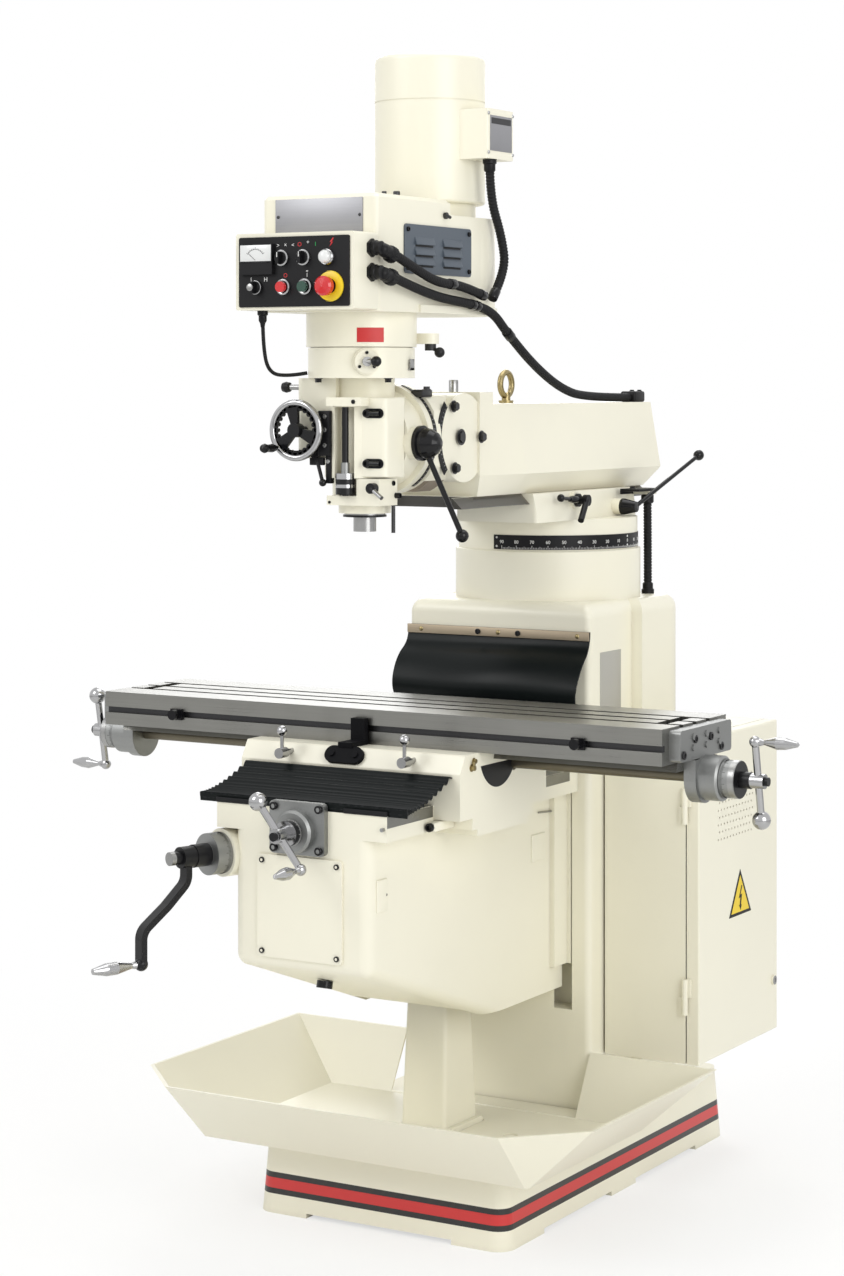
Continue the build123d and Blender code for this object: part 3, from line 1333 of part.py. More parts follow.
# Quill with its black plate, and the spindle in it
with BuildPart() as quill:
    with Locations((0, spindle_y, quill_bottom)):
        Cylinder(quill_plate_r, quill_plate, align=standing)
        Cylinder(quill_r, quill_top - quill_bottom, align=standing)
        Cylinder(nose_r + running_gap, 100, mode=Mode.SUBTRACT)
    with Locations((0, spindle_y, nose_seat)):
        Cylinder(spindle_r + running_gap, 300, align=standing, mode=Mode.SUBTRACT)
save(quill, "quill")

with BuildPart() as spindle:
    with Locations((0, spindle_y, nose_z)):
        Cylinder(nose_r, nose_seat - nose_z, align=standing)
    with Locations((0, spindle_y, nose_seat)):
        Cylinder(spindle_r, spindle_shoulder - nose_seat, align=standing)
        Cylinder(shaft_r, spindle_top - nose_seat, align=standing)
    with Locations((0, spindle_y, nose_z)):
        Cylinder(spindle_bore_r, 2 * spindle_bore_length, mode=Mode.SUBTRACT)
save(spindle, "spindle")

with BuildPart() as spindle_pulley:
    with Locations((0, spindle_y, pulley_low)):
        Cylinder(pulley_r, pulley_width, align=standing)
        Cylinder(quill_r - running_gap, 2 * belt_flange, align=hanging)
        Cylinder(shaft_r + running_gap, 400, mode=Mode.SUBTRACT)
save(spindle_pulley, "spindle_pulley")

with BuildPart() as motor_rotor:
    with Locations((0, motor_y, pulley_low)):
        Cylinder(pulley_r, pulley_width, align=standing)
        Cylinder(shaft_r, motor_seam - pulley_low, align=standing)
    with Locations((0, motor_y, motor_bottom + 20)):
        Cylinder(rotor_r, motor_seam - motor_bottom - 20, align=standing)
save(motor_rotor, "motor_rotor")

with BuildPart() as drive_belt:
    with BuildSketch(Plane.XY.offset(pulley_low + 3)):
        with Locations((0, (spindle_y + motor_y) / 2)):
            belt_inner = pulley_r + running_gap
            SlotCenterToCenter(motor_y - spindle_y, 2 * (belt_inner + belt_thick), rotation=90)
            SlotCenterToCenter(motor_y - spindle_y, 2 * belt_inner, rotation=90, mode=Mode.SUBTRACT)
    extrude(amount=pulley_width - 6)
save(drive_belt, "drive_belt")

# Hand controls on the head
lever_start = Vector(lever_boss_x + lever_root, lever_y, lever_z)
lever_end = lever_start + Vector(*lever_lean)
with BuildPart() as quill_lever:
    add(turned(axis_plane((lever_boss_x, lever_y, lever_z), (1, 0, 0)), [
        (0, 0), (37, 0), (37, 8), (32, 9), (32, 18), (29, 30), (22, 41), (12, 48), (0, 50)]))
    add(rod((lever_boss_x - 58, lever_y, lever_z), (lever_boss_x + 2, lever_y, lever_z), lever_shaft_r))
    add(rod(lever_start, lever_end, lever_rod_r))
    with Locations(lever_end):
        Sphere(lever_ball_r)
save(quill_lever, "quill_lever")

with BuildPart() as feed_handwheel:
    with Locations((wheel_x, wheel_y, wheel_z)):
        Torus(wheel_rim_r, wheel_wire_r, rotation=(90, 0, 0))
        Cylinder(wheel_hub_r, wheel_hub, rotation=(90, 0, 0))
        for spoke in (20, 140, 260):
            Box(wheel_rim_r, 8, 16, rotation=(0, spoke, 0), align=(Align.MIN, Align.CENTER, Align.CENTER))
    add(rod((wheel_x, wheel_y, wheel_z), (wheel_x, feed_case_front + 46, wheel_z), wheel_shaft_r))
    grip_x = wheel_x - wheel_rim_r * cos(radians(40))
    grip_z = wheel_z - wheel_rim_r * sin(radians(40))
    add(rod((grip_x, wheel_y, grip_z), (grip_x, wheel_y - 22, grip_z), 5))
    add(turned(axis_plane((grip_x, wheel_y - 14, grip_z), (0, -1, 0)), [
        (0, 0), (7, 0), (9, 10), (8, 28), (10, 38), (8, 44), (0, 46)]))
save(feed_handwheel, "feed_handwheel")

with BuildPart() as feed_lever:
    trip = Vector(-73, feed_case_front, wheel_z - 47)
    trip_end = Vector(-48, feed_case_front - 18, wheel_z - 109)
    add(rod(trip, trip - Vector(0, 14, 0), 11))
    add(rod(trip - Vector(0, 8, 0), trip_end, 4))
    with Locations(trip_end):
        Sphere(8)
save(feed_lever, "feed_lever")

with BuildPart() as quill_lock:
    lock = Vector(69, head_front, head_bottom + 37)
    add(rod(lock, lock - Vector(0, 16, 0), 11))
    add(rod(lock - Vector(0, 12, 0), lock + Vector(33, -24, -19), 4.5))
save(quill_lock, "quill_lock")

selector_lean = Vector(14, 10, 0)
with BuildPart() as feed_selector:
    add(rod(selector_point(selector_boss), selector_point(selector_boss + 6), selector_plate_r))
    add(rod(selector_point(selector_boss), selector_point(selector_boss + 16), 10))
    add(rod(selector_point(selector_boss + 12), selector_point(selector_boss + 24) + selector_lean, 5))
    with Locations(selector_point(selector_boss + 26) + selector_lean):
        Sphere(small_ball_r)
save(feed_selector, "feed_selector")

with BuildPart() as range_lever:
    with Locations((range_x, range_y, range_low)):
        Cylinder(12, 14, align=hanging)
    add(rod((range_x, range_y, range_low - 7), (range_x + 20, range_y, range_low - 16), 4))
    with Locations((range_x + 22, range_y, range_low - 18)):
        Sphere(small_ball_r)
save(range_lever, "range_lever")

with BuildPart() as pull_knob:
    add(turned(axis_plane((feed_case_left + 36, pull_y, pull_z), (-1, 0, 0)), [
        (0, 0), (pull_r, 0), (pull_r, 66), (10, 68), (12, 76), (10, 84), (0, 87)]))
save(pull_knob, "pull_knob")

# Depth stop screw with its nut, and the trip rod under the head
with BuildPart() as depth_stop:
    stop_low = head_bottom + head_foot
    add(rod((0, stop_screw_y, stop_low), (0, stop_screw_y, stop_high), stop_screw_r))
    nut_low = stop_low + 3
    add(rod((0, stop_screw_y, nut_low), (0, stop_screw_y, nut_low + stop_nut), stop_nut_r))
    nut_top = nut_low + stop_nut
    add(rod((0, stop_screw_y, nut_top), (0, stop_screw_y, nut_top + stop_sleeve), stop_sleeve_r))
save(depth_stop, "depth_stop")

# Push buttons and selectors on the panel
ring_face = panel_face - ring_rise
for name, (x, z, hole_r) in control_places.items():
    with BuildPart() as control:
        stem_r = hole_r - running_gap
        if name.endswith("selector"):
            add(rod((x, ring_face, z), (x, ring_face - 6, z), 13))
            with Locations((x, ring_face, z)):
                Box(7, 16, 24, align=before)
        elif name == "emergency_stop":
            add(turned(axis_plane((x, ring_face - button_travel - 1, z), (0, -1, 0)), [
                (0, 0), (14, 0), (20, 6), (20, 16), (16, 20), (0, 22)]))
        else:
            add(rod((x, ring_face - button_travel - 1, z), (x, ring_face - button_travel - 8, z), 11))
        add(rod((x, control_front + 20, z), (x, ring_face - button_travel - 2, z), stem_r))
    save(control, name)

# Ram levers on the turret's right side
pinion = Vector(turret_half + pinion_boss, pinion_y, pinion_z)
pinion_end = Vector(turret_half + 94, pinion_y + 255, pinion_z + 116)
with BuildPart() as ram_lever:
    add(turned(axis_plane(pinion, (1, 0, 0)), [(0, 0), (19, 0), (19, 6), (16, 20), (12, 38), (0, 39)]))
    add(rod(pinion - Vector(turret_pin, 0, 0), pinion + Vector(1, 0, 0), turret_pin_r))
    add(rod(pinion + Vector(33, 0, 0), pinion_end, 5))
    with Locations(pinion_end):
        Sphere(ram_ball_r)
save(ram_lever, "ram_lever")

clamp = Vector(turret_half, clamp_y, clamp_z)
with BuildPart() as ram_clamp_lever:
    add(rod(clamp - Vector(turret_pin, 0, 0), clamp + Vector(30, 0, 0), turret_pin_r))
    add(rod(clamp, clamp + Vector(8, 0, 0), 15))
    add(rod(clamp + Vector(20, 0, 0), clamp + Vector(32, 0, 0), 13))
    add(rod(clamp + Vector(26, 0, 0), clamp + Vector(38, -52, -44), 7))
save(ram_clamp_lever, "ram_clamp_lever")

# Ribbed conduits: a bored tube whose ribs are ruled lofts along lines and tangent arcs
rib_pitch = 7
rib_depth = 1.2


def conduit_path(points):
    radii = []
    corners = [Vector(*p) for p in points]
    for before, corner, after in zip(corners, corners[1:], corners[2:]):
        way_in, way_out = corner - before, after - corner
        turn = radians(way_in.get_angle(way_out))
        radii.append(0.45 * min(way_in.length, way_out.length) / tan(turn / 2))
    with BuildLine() as route:
        FilletPolyline(*points, radius=radii)
    print("conduit radii", [round(r) for r in radii])
    return route.wires()[0]


def ribbed(points, steady, radius, bore):
    path = conduit_path(points)
    plain = 2 * radius
    ribs = min(200, int((path.length - 2 * plain) / rib_pitch))
    step = (path.length - 2 * plain) / ribs
    stations = [(0, radius)]
    for i in range(ribs):
        start = plain + i * step
        stations += [(start, radius - rib_depth), (start + 0.2 * step, radius),
                     (start + 0.6 * step, radius), (start + 0.8 * step, radius - rib_depth)]
    stations.append((path.length - plain, radius - rib_depth))
    stations.append((path.length, radius))

    def rounds(sizes):
        faces = []
        for distance, size in sizes:
            at = distance / path.length
            with BuildSketch(Plane(path.position_at(at), x_dir=steady, z_dir=path.tangent_at(at))) as section:
                Circle(size)
            faces.append(section.sketch)
        return faces

    with BuildPart() as tube:
        loft(rounds(stations), ruled=True)
        with BuildSketch(Plane(path.position_at(0), x_dir=steady, z_dir=path.tangent_at(0))):
            Circle(bore)
        sweep(path=path, mode=Mode.SUBTRACT)
    print("ribs", ribs, "length", round(path.length))
    return tube.part

# Cable routes, from each fitting to the far end
motor_route = [
    (160, -345, terminal_low), (160, -345, terminal_low - 79), (166, -300, terminal_low - 169),
    (168, -288, terminal_low - 239), (164, -342, terminal_low - 300)]
panel_route = [
    (control_half, -803, control_bottom + 124), (174, -803, control_bottom + 124),
    (174, -690, control_bottom + 88), (172, -590, control_bottom + 60),
    (169, -480, control_bottom + 58), (165, -378, control_bottom + 38)]
main_route = [
    (control_half, -803, control_bottom + 75), (172, -803, control_bottom + 75),
    (168, -690, control_bottom + 50), (162, -560, control_bottom + 29),
    (160, -420, control_bottom + 20), (160, -330, control_bottom + 4),
    (156, -262, control_bottom - 38), (140, -110, ram_top + 86),
    (118, 60, ram_top + 34), (98, 220, ram_top + 12), (82, 490, ram_top + 11)]
column_route = [
    (185, 378, column_shoulder - 20), (185, 378, turret_top - 111), (183, 380, turret_top - 16.6)]
fitting_r = 14
fitting_length = 26
elbow_size = (34, 44, 34)
conduits = (
    ("motor_conduit", motor_route, (1, 0, 0)), ("panel_conduit", panel_route, (0, 0, 1)),
    ("main_conduit", main_route, (0, 0, 1)), ("column_conduit", column_route, (1, 0, 0)))
for name, route, steady in conduits:
    with BuildPart() as conduit:
        add(ribbed(route, steady, conduit_r, conduit_bore_r))
        entry = Vector(*route[0])
        inward = (Vector(*route[1]) - entry).normalized()
        add(rod(entry, entry + inward * fitting_length, fitting_r))
        add(rod(entry, entry + inward * 2 * fitting_length, conduit_bore_r), mode=Mode.SUBTRACT)
        if name == "column_conduit":
            add(column_casting.part, mode=Mode.SUBTRACT)
        if name == "main_conduit":
            with Locations(Vector(*route[-1])):
                Box(*elbow_size, align=behind)
            with Locations((0, 0, ram_top)):
                Box(600, 3000, 200, align=hanging, mode=Mode.SUBTRACT)
    save(conduit, name)

# Thin cord from the control box to the gear housing
cord_r = 4
cord_gland_r = 9
cord_route = [
    (-112, -815, control_bottom), (-112, -815, control_bottom - 66), (-135, -760, control_bottom - 128),
    (-128, -692, control_bottom - 134), (-96.6, -670.2, control_bottom - 127)]
with BuildPart() as feed_cord:
    with BuildSketch(Plane(cord_route[0], x_dir=(1, 0, 0), z_dir=(0, 0, -1))):
        Circle(cord_r)
    sweep(path=conduit_path(cord_route))
    add(rod(cord_route[0], Vector(*cord_route[0]) - Vector(0, 0, 24), cord_gland_r))
save(feed_cord, "feed_cord")
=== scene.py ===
from math import cos, pi, radians, sin

import bmesh
import bpy
from mathutils import Matrix, Vector


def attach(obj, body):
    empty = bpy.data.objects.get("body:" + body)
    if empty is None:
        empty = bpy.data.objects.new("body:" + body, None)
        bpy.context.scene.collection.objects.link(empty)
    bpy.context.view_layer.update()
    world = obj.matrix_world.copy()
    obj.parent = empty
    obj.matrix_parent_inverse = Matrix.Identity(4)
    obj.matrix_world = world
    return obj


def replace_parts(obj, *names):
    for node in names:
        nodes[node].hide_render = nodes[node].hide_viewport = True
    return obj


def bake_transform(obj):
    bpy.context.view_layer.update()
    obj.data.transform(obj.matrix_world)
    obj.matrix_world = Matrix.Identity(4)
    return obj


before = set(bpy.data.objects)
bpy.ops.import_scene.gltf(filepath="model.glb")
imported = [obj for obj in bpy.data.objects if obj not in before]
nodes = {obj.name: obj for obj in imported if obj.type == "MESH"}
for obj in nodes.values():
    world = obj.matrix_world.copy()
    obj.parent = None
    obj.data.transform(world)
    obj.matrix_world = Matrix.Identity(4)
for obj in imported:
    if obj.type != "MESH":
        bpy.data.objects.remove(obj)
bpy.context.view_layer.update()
print("frame loaded:", len(nodes), "nodes")

# sizes and places are written in millimetres, meshes are in metres
home, right, front, up = (0, 0, 0), (1, 0, 0), (0, -1, 0), (0, 0, 1)


def at(x, y, z):
    return Vector((x, y, z)) / 1000


# shader nodes and groups, shared by the finishes


def feed(tree, node, values):
    for key, value in values.items():
        if isinstance(value, bpy.types.NodeSocket):
            tree.links.new(value, node.inputs[key])
        else:
            node.inputs[key].default_value = value


def addNode(tree, kind, values, **settings):
    node = tree.nodes.new("ShaderNode" + kind)
    for key, value in settings.items():
        setattr(node, key, value)
    feed(tree, node, values)
    return node.outputs


def mathNode(tree, operation, first, second, clamp=False):
    return addNode(tree, "Math", {0: first, 1: second}, operation=operation, use_clamp=clamp)[0]


def vectorNode(tree, operation, first, second=home):
    return addNode(tree, "VectorMath", {0: first, 1: second}, operation=operation)


def mixColour(tree, factor, first, second):
    return addNode(tree, "Mix", {0: factor, 6: first, 7: second}, data_type="RGBA")[2]


def mixValue(tree, factor, first, second):
    return addNode(tree, "Mix", {0: factor, 2: first, 3: second})[0]


def rampNode(tree, value, low, high, least=0.0, most=1.0, **settings):
    values = {"Value": value, "From Min": low, "From Max": high, "To Min": least, "To Max": most}
    return addNode(tree, "MapRange", values, **settings)["Result"]


def noiseNode(tree, place, scale, detail):
    return addNode(tree, "TexNoise", {"Vector": place, "Scale": scale, "Detail": detail})["Fac"]


def driftTone(tree, base, noise, drift):
    # a colour made lighter and darker by a noise
    swing = mathNode(tree, "MULTIPLY", mathNode(tree, "SUBTRACT", noise, 0.5), drift)
    value = mathNode(tree, "ADD", swing, 1.0)
    return addNode(tree, "HueSaturation", {"Color": base, "Value": value})["Color"]


def startGroup(name, inputs, outputs):
    # a socket's kind follows from its default: a number, a vector of three or a colour of four
    group = bpy.data.node_groups.new(name, "ShaderNodeTree")
    kinds = {3: "NodeSocketVector", 4: "NodeSocketColor"}
    for label, value in inputs.items():
        kind = kinds[len(value)] if isinstance(value, tuple) else "NodeSocketFloat"
        group.interface.new_socket(name=label, in_out="INPUT", socket_type=kind).default_value = value
    for label in outputs:
        kind = "NodeSocketColor" if label == "Colour" else "NodeSocketFloat"
        group.interface.new_socket(name=label, in_out="OUTPUT", socket_type=kind)
    return group, group.nodes.new("NodeGroupInput").outputs, group.nodes.new("NodeGroupOutput")


def makeMottleGroup():
    # slow colour drift and fine speckle for paint, rubber and plastic
    group, entry, leave = startGroup("mottle", {
        "Vector": home, "Base": (0.8, 0.8, 0.8, 1), "Drift": 0.05, "Grain": 900.0, "Rough": 0.4,
        "Spread": 0.1}, ("Colour", "Roughness", "Height"))
    slow = noiseNode(group, entry["Vector"], 5.0, 4.0)
    rough = mathNode(group, "MULTIPLY", mathNode(group, "SUBTRACT", slow, 0.5), entry["Spread"])
    feed(group, leave, {
        "Colour": driftTone(group, entry["Base"], slow, entry["Drift"]),
        "Roughness": mathNode(group, "ADD", rough, entry["Rough"], clamp=True),
        "Height": noiseNode(group, entry["Vector"], entry["Grain"], 2.0)})
    return group


def makeEdgeGroup():
    # masks for rubbed edges, and for corners darkened by ambient occlusion: partly soiling, partly painted
    # shade
    group, entry, leave = startGroup(
        "rubbedEdges", {"Vector": home, "Width": 0.0012, "Breakup": 60.0}, ("Edge", "Corner"))
    bevel = addNode(group, "Bevel", {"Radius": entry["Width"]}, samples=4)["Normal"]
    bend = vectorNode(group, "DOT_PRODUCT", bevel, addNode(group, "NewGeometry", {})["Normal"])["Value"]
    broken = rampNode(group, noiseNode(group, entry["Vector"], entry["Breakup"], 4.0), 0.45, 0.62)
    shade = addNode(group, "AmbientOcclusion", {"Distance": 0.03}, samples=4)["AO"]
    feed(group, leave, {
        "Edge": mathNode(group, "MULTIPLY", rampNode(group, bend, 0.985, 0.86), broken),
        "Corner": rampNode(group, shade, 0.75, 0.25)})
    return group


def makeLayGroup():
    # fine parallel lay left by grinding or turning
    group, entry, leave = startGroup("machiningLay", {
        "Vector": home, "Stretch": (4.0, 900.0, 900.0), "Base": (0.6, 0.6, 0.6, 1), "Drift": 0.25},
        ("Colour", "Roughness", "Height"))
    stretched = vectorNode(group, "MULTIPLY", entry["Vector"], entry["Stretch"])["Vector"]
    lay = noiseNode(group, stretched, 1.0, 3.0)
    cloud = noiseNode(group, entry["Vector"], 9.0, 3.0)
    both = mathNode(group, "ADD", mathNode(group, "MULTIPLY", lay, 0.6),
                    mathNode(group, "MULTIPLY", cloud, 0.4))
    feed(group, leave, {
        "Colour": driftTone(group, entry["Base"], both, entry["Drift"]),
        "Roughness": rampNode(group, both, 0.1, 1.2), "Height": lay})
    return group


mottleGroup = makeMottleGroup()
edgeGroup = makeEdgeGroup()
layGroup = makeLayGroup()
print("shader groups made")

# finishes: each function adds its material to the dictionary

finishes = {}


def startFinish(name):
    material = finishes[name] = bpy.data.materials.new(name)
    material.use_nodes = True
    tree = material.node_tree
    return tree, tree.nodes["Principled BSDF"], addNode(tree, "TexCoord", {})["Object"]


def placeGroup(tree, group, place, **values):
    return addNode(tree, "Group", {"Vector": place, **values}, node_tree=group)


def bumpNormal(tree, height, strength, distance=0.0002):
    return addNode(tree, "Bump", {"Height": height, "Strength": strength, "Distance": distance})["Normal"]


def bandMask(tree, value, low, high):
    above = mathNode(tree, "GREATER_THAN", value, low)
    return mathNode(tree, "MULTIPLY", above, mathNode(tree, "LESS_THAN", value, high))


# the corner tint and share follow the ambient occlusion mask: partly soiling, partly painted shade; the
# rubbed tint and share are edge wear
paintWearAndShade = {"grimeShadeTint": (0.42, 0.38, 0.30, 1), "grimeShadeShare": 0.35, "rubbed": (0.95, 0.93, 0.88, 1), "rubbing": 0.35}


def paintFinish(name, colour, rough=0.36, grain=420.0, bump=0.12, stripes=()):
    tree, shader, place = startFinish(name)
    mottle = placeGroup(tree, mottleGroup, place, Base=(*colour, 1), Drift=0.05, Grain=grain, Spread=0.12,
                        Rough=rough)
    edges = placeGroup(tree, edgeGroup, place, Width=0.0015, Breakup=45.0)
    tone = mottle["Colour"]
    height = addNode(tree, "SeparateXYZ", {0: place})[2]
    for low, high, tint in stripes:
        tone = mixColour(tree, bandMask(tree, height, low / 1000, high / 1000), tone, (*tint, 1))
    # corners take the brownish tint where ambient occlusion finds them, partly soiling and partly painted
    # shade; edges take the rubbed tint
    for mask, amount, tint in (("Corner", "grimeShadeShare", "grimeShadeTint"), ("Edge", "rubbing", "rubbed")):
        share = mathNode(tree, "MULTIPLY", edges[mask], paintWearAndShade[amount])
        tone = mixColour(tree, share, tone, paintWearAndShade[tint])
    feed(tree, shader, {
        "Base Color": tone, "Roughness": mottle["Roughness"], "Coat Weight": 0.15, "Coat Roughness": 0.25,
        "Normal": bumpNormal(tree, mottle["Height"], bump, 0.0004)})


def metalFinish(name, colour, stretch, drift=0.3, rough=(0.22, 0.45), bump=0.15, stainAndShade=None):
    tree, shader, place = startFinish(name)
    lay = placeGroup(tree, layGroup, place, Stretch=stretch, Base=(*colour, 1), Drift=drift)
    tone = lay["Colour"]
    # corners darken towards the given dark brown where ambient occlusion finds them: partly stained metal,
    # partly painted shade
    if stainAndShade:
        corner = placeGroup(tree, edgeGroup, place, Width=0.001, Breakup=80.0)["Corner"]
        tone = mixColour(tree, mathNode(tree, "MULTIPLY", corner, 0.6), tone, (*stainAndShade, 1))
    feed(tree, shader, {
        "Base Color": tone, "Roughness": rampNode(tree, lay["Roughness"], 0.0, 1.0, *rough), "Metallic": 1.0,
        "Normal": bumpNormal(tree, lay["Height"], bump)})


def mouldedFinish(name, colour, rough=0.45, drift=0.25, grain=1500.0, bump=0.2, coat=0.0, shine=0.2,
                  worn=(0.05, 0.05, 0.055)):
    tree, shader, place = startFinish(name)
    mottle = placeGroup(tree, mottleGroup, place, Base=(*colour, 1), Drift=drift, Grain=grain, Spread=0.2,
                        Rough=rough)
    edge = placeGroup(tree, edgeGroup, place, Width=0.0008, Breakup=120.0)["Edge"]
    tone = mixColour(tree, mathNode(tree, "MULTIPLY", edge, 0.5), mottle["Colour"], (*worn, 1))
    feed(tree, shader, {
        "Base Color": tone, "Roughness": mottle["Roughness"], "Coat Weight": coat,
        "Specular IOR Level": shine, "Normal": bumpNormal(tree, mottle["Height"], bump)})


surfaces = {
    "black": ((0.006, 0.006, 0.007), 0.32, 0.0), "chrome": ((0.42, 0.42, 0.425), 0.16, 1.0),
    "steel": ((0.34, 0.34, 0.335), 0.34, 1.0), "aluminium": ((0.30, 0.305, 0.30), 0.42, 1.0),
    "thread": ((0.15, 0.135, 0.10), 0.45, 1.0), "cream": ((0.875, 0.845, 0.70), 0.36, 0.0),
    "dark": ((0.035, 0.035, 0.036), 0.4, 0.6)}


def zoneMask(tree, place, kind, low, high, way=None, origin=home):
    # a zone is a span along a line, a sleeve round a line, or a ball
    reach = vectorNode(tree, "SUBTRACT", place, at(*origin))
    if kind == "span":
        reach = vectorNode(tree, "DOT_PRODUCT", reach["Vector"], Vector(way).normalized())
    else:
        if kind == "sleeve":
            reach = vectorNode(tree, "CROSS_PRODUCT", reach["Vector"], Vector(way).normalized())
        reach = vectorNode(tree, "LENGTH", reach["Vector"])
    return bandMask(tree, reach["Value"], low / 1000, high / 1000)


def zonedFinish(name, base, *zones):
    # one node whose zones have different surfaces, with the same slight drift over all of them
    tree, shader, place = startFinish(name)
    tone, rough, metal = surfaces[base]
    tone = (*tone, 1)
    for surface, *zone in zones:
        mask = zoneMask(tree, place, *zone)
        newTone, newRough, newMetal = surfaces[surface]
        tone = mixColour(tree, mask, tone, (*newTone, 1))
        rough = mixValue(tree, mask, rough, newRough)
        metal = mixValue(tree, mask, metal, newMetal)
    mottle = placeGroup(tree, mottleGroup, place, Drift=0.22, Grain=900.0, Spread=0.1, Base=tone, Rough=rough)
    feed(tree, shader, {
        "Base Color": mottle["Colour"], "Roughness": mottle["Roughness"], "Metallic": metal,
        "Specular IOR Level": 0.3, "Normal": bumpNormal(tree, mottle["Height"], 0.05)})


ivory, bandBlack, bandRed = (0.880, 0.850, 0.705), (0.015, 0.014, 0.014), (0.62, 0.03, 0.03)
baseBands = ((41, 53, bandBlack), (53, 75, bandRed), (75, 87, bandBlack))
paintFinish("ivoryCasting", ivory)
paintFinish("ivorySheet", (0.872, 0.842, 0.698), rough=0.32, grain=900.0, bump=0.06)
paintFinish("bandedBase", ivory, stripes=baseBands)
paintFinish("railedRam", ivory, stripes=[(1500, 1550.5, (0.055, 0.053, 0.047))])

metalFinish("groundSteel", (0.27, 0.268, 0.250), (6.0, 700.0, 700.0), stainAndShade=(0.05, 0.045, 0.038))
metalFinish("turnedSteel", (0.36, 0.36, 0.355), (500.0, 500.0, 900.0), drift=0.2)
metalFinish("darkSteel", (0.06, 0.06, 0.062), (300.0, 300.0, 300.0), rough=(0.3, 0.5))
metalFinish("brightChrome", (0.42, 0.42, 0.425), (60.0, 60.0, 60.0), drift=0.08, rough=(0.10, 0.24),
            bump=0.02)
metalFinish("castAluminium", (0.29, 0.295, 0.29), (260.0, 260.0, 260.0), rough=(0.35, 0.6), bump=0.4)
metalFinish("oldBrass", (0.34, 0.275, 0.14), (300.0, 300.0, 300.0), drift=0.35, rough=(0.26, 0.46))
metalFinish("dullBrass", (0.42, 0.35, 0.26), (4.0, 500.0, 500.0), drift=0.25, rough=(0.45, 0.65))
metalFinish("brushedPlate", (0.33, 0.33, 0.345), (3.0, 900.0, 900.0), rough=(0.42, 0.58))

mouldedFinish("blackRubber", (0.011, 0.011, 0.012), rough=0.58, grain=2600.0, bump=0.35)
mouldedFinish("rubberSheet", (0.006, 0.008, 0.008), rough=0.30, grain=500.0, bump=0.10, shine=0.12)
mouldedFinish("blackPlastic", (0.007, 0.007, 0.008), rough=0.40)
mouldedFinish("blackGloss", (0.005, 0.005, 0.006), rough=0.2, drift=0.1, bump=0.04, coat=0.2)
mouldedFinish("blackOxide", (0.006, 0.006, 0.007), rough=0.6, shine=0.08)
# brown-grey standing for the knuckle's down-facing flank in shade: painted shade
mouldedFinish("soleShadeBrown", (0.27, 0.23, 0.185), rough=0.7, grain=180.0, shine=0.1, worn=(0.4, 0.36, 0.3))
mouldedFinish("panelBlack", (0.009, 0.009, 0.010), rough=0.50, grain=3200.0, bump=0.3)
mouldedFinish("ventBlue", (0.085, 0.105, 0.130), rough=0.42, grain=2200.0, shine=0.4, worn=(0.3, 0.33, 0.37))

glossy, printed = {"bump": 0.03, "coat": 0.5, "shine": 0.5}, {"drift": 0.05, "bump": 0.02}
mouldedFinish("signalRed", (0.62, 0.012, 0.016), rough=0.2, drift=0.06, worn=(0.7, 0.1, 0.1), **glossy)
mouldedFinish("signalGreen", (0.008, 0.060, 0.036), rough=0.22, drift=0.08, worn=(0.05, 0.2, 0.12), **glossy)
mouldedFinish("lampWhite", (0.78, 0.79, 0.78), rough=0.2, drift=0.04, worn=(0.9, 0.9, 0.9), **glossy)
mouldedFinish("labelRed", (0.56, 0.030, 0.030), rough=0.4, shine=0.4, worn=(0.7, 0.3, 0.3), **printed)
mouldedFinish("markWhite", (0.75, 0.75, 0.73), rough=0.5, shine=0.5, worn=(0.8, 0.8, 0.8), **printed)
mouldedFinish("markGreen", (0.03, 0.35, 0.09), rough=0.5, worn=(0.1, 0.5, 0.2), **printed)
mouldedFinish("signalYellow", (0.86, 0.62, 0.015), rough=0.34, drift=0.06, bump=0.05, shine=0.5,
              worn=(0.9, 0.75, 0.3))
mouldedFinish("plateGrey", (0.42, 0.41, 0.37), rough=0.4, drift=0.2, bump=0.03, shine=0.4,
              worn=(0.6, 0.6, 0.58))

crankLine = {"origin": (0, -287, 828), "way": (-sin(radians(20)), -cos(radians(20)), 0)}
wheelPlace = (-104, -702, 1699)
selectorLine = {"origin": (0, -610, 1842), "way": (0.6, -0.8, 0)}
zonedFinish("liftCrank", "black", ("aluminium", "span", 560, 621.6, crankLine["way"], crankLine["origin"]),
            ("steel", "ball", -1, 20, None, (-246, -963, 828)),
            ("chrome", "span", 797, 990, crankLine["way"], crankLine["origin"]))
zonedFinish("crossCrank", "chrome", ("black", "span", 878.5, 900.5, front),
            ("black", "ball", -1, 12.5, None, (0, -948, 891)))
zonedFinish("tableScrew", "black", ("thread", "span", -730, 730, right),
            ("aluminium", "span", 730, 788, right), ("aluminium", "span", -788, -730, right))
zonedFinish("handwheel", "black", ("chrome", "sleeve", 52.5, 70, front, wheelPlace),
            ("black", "span", 709.5, 800, front))
zonedFinish("pullKnob", "steel", ("black", "span", -200, -157, right))
zonedFinish("feedSelector", "steel",
            ("cream", "span", 100, 125.6, selectorLine["way"], selectorLine["origin"]),
            ("black", "ball", -1, 12, None, (101, -716, 1842)))
zonedFinish("quillNose", "steel", ("black", "span", 1500, 1521.5, up))
zonedFinish("stopScrew", "black", ("aluminium", "span", 1610.2, 1632.5, up),
            ("chrome", "span", 1598, 1610.2, up), ("chrome", "span", 1580, 1587, up))
zonedFinish("quillLock", "chrome", ("black", "ball", -1, 14.5, None, (69, -680, 1580)))
zonedFinish("rangeLever", "black", ("dark", "span", 1866, 1900, up))
print("finishes made:", len(finishes))

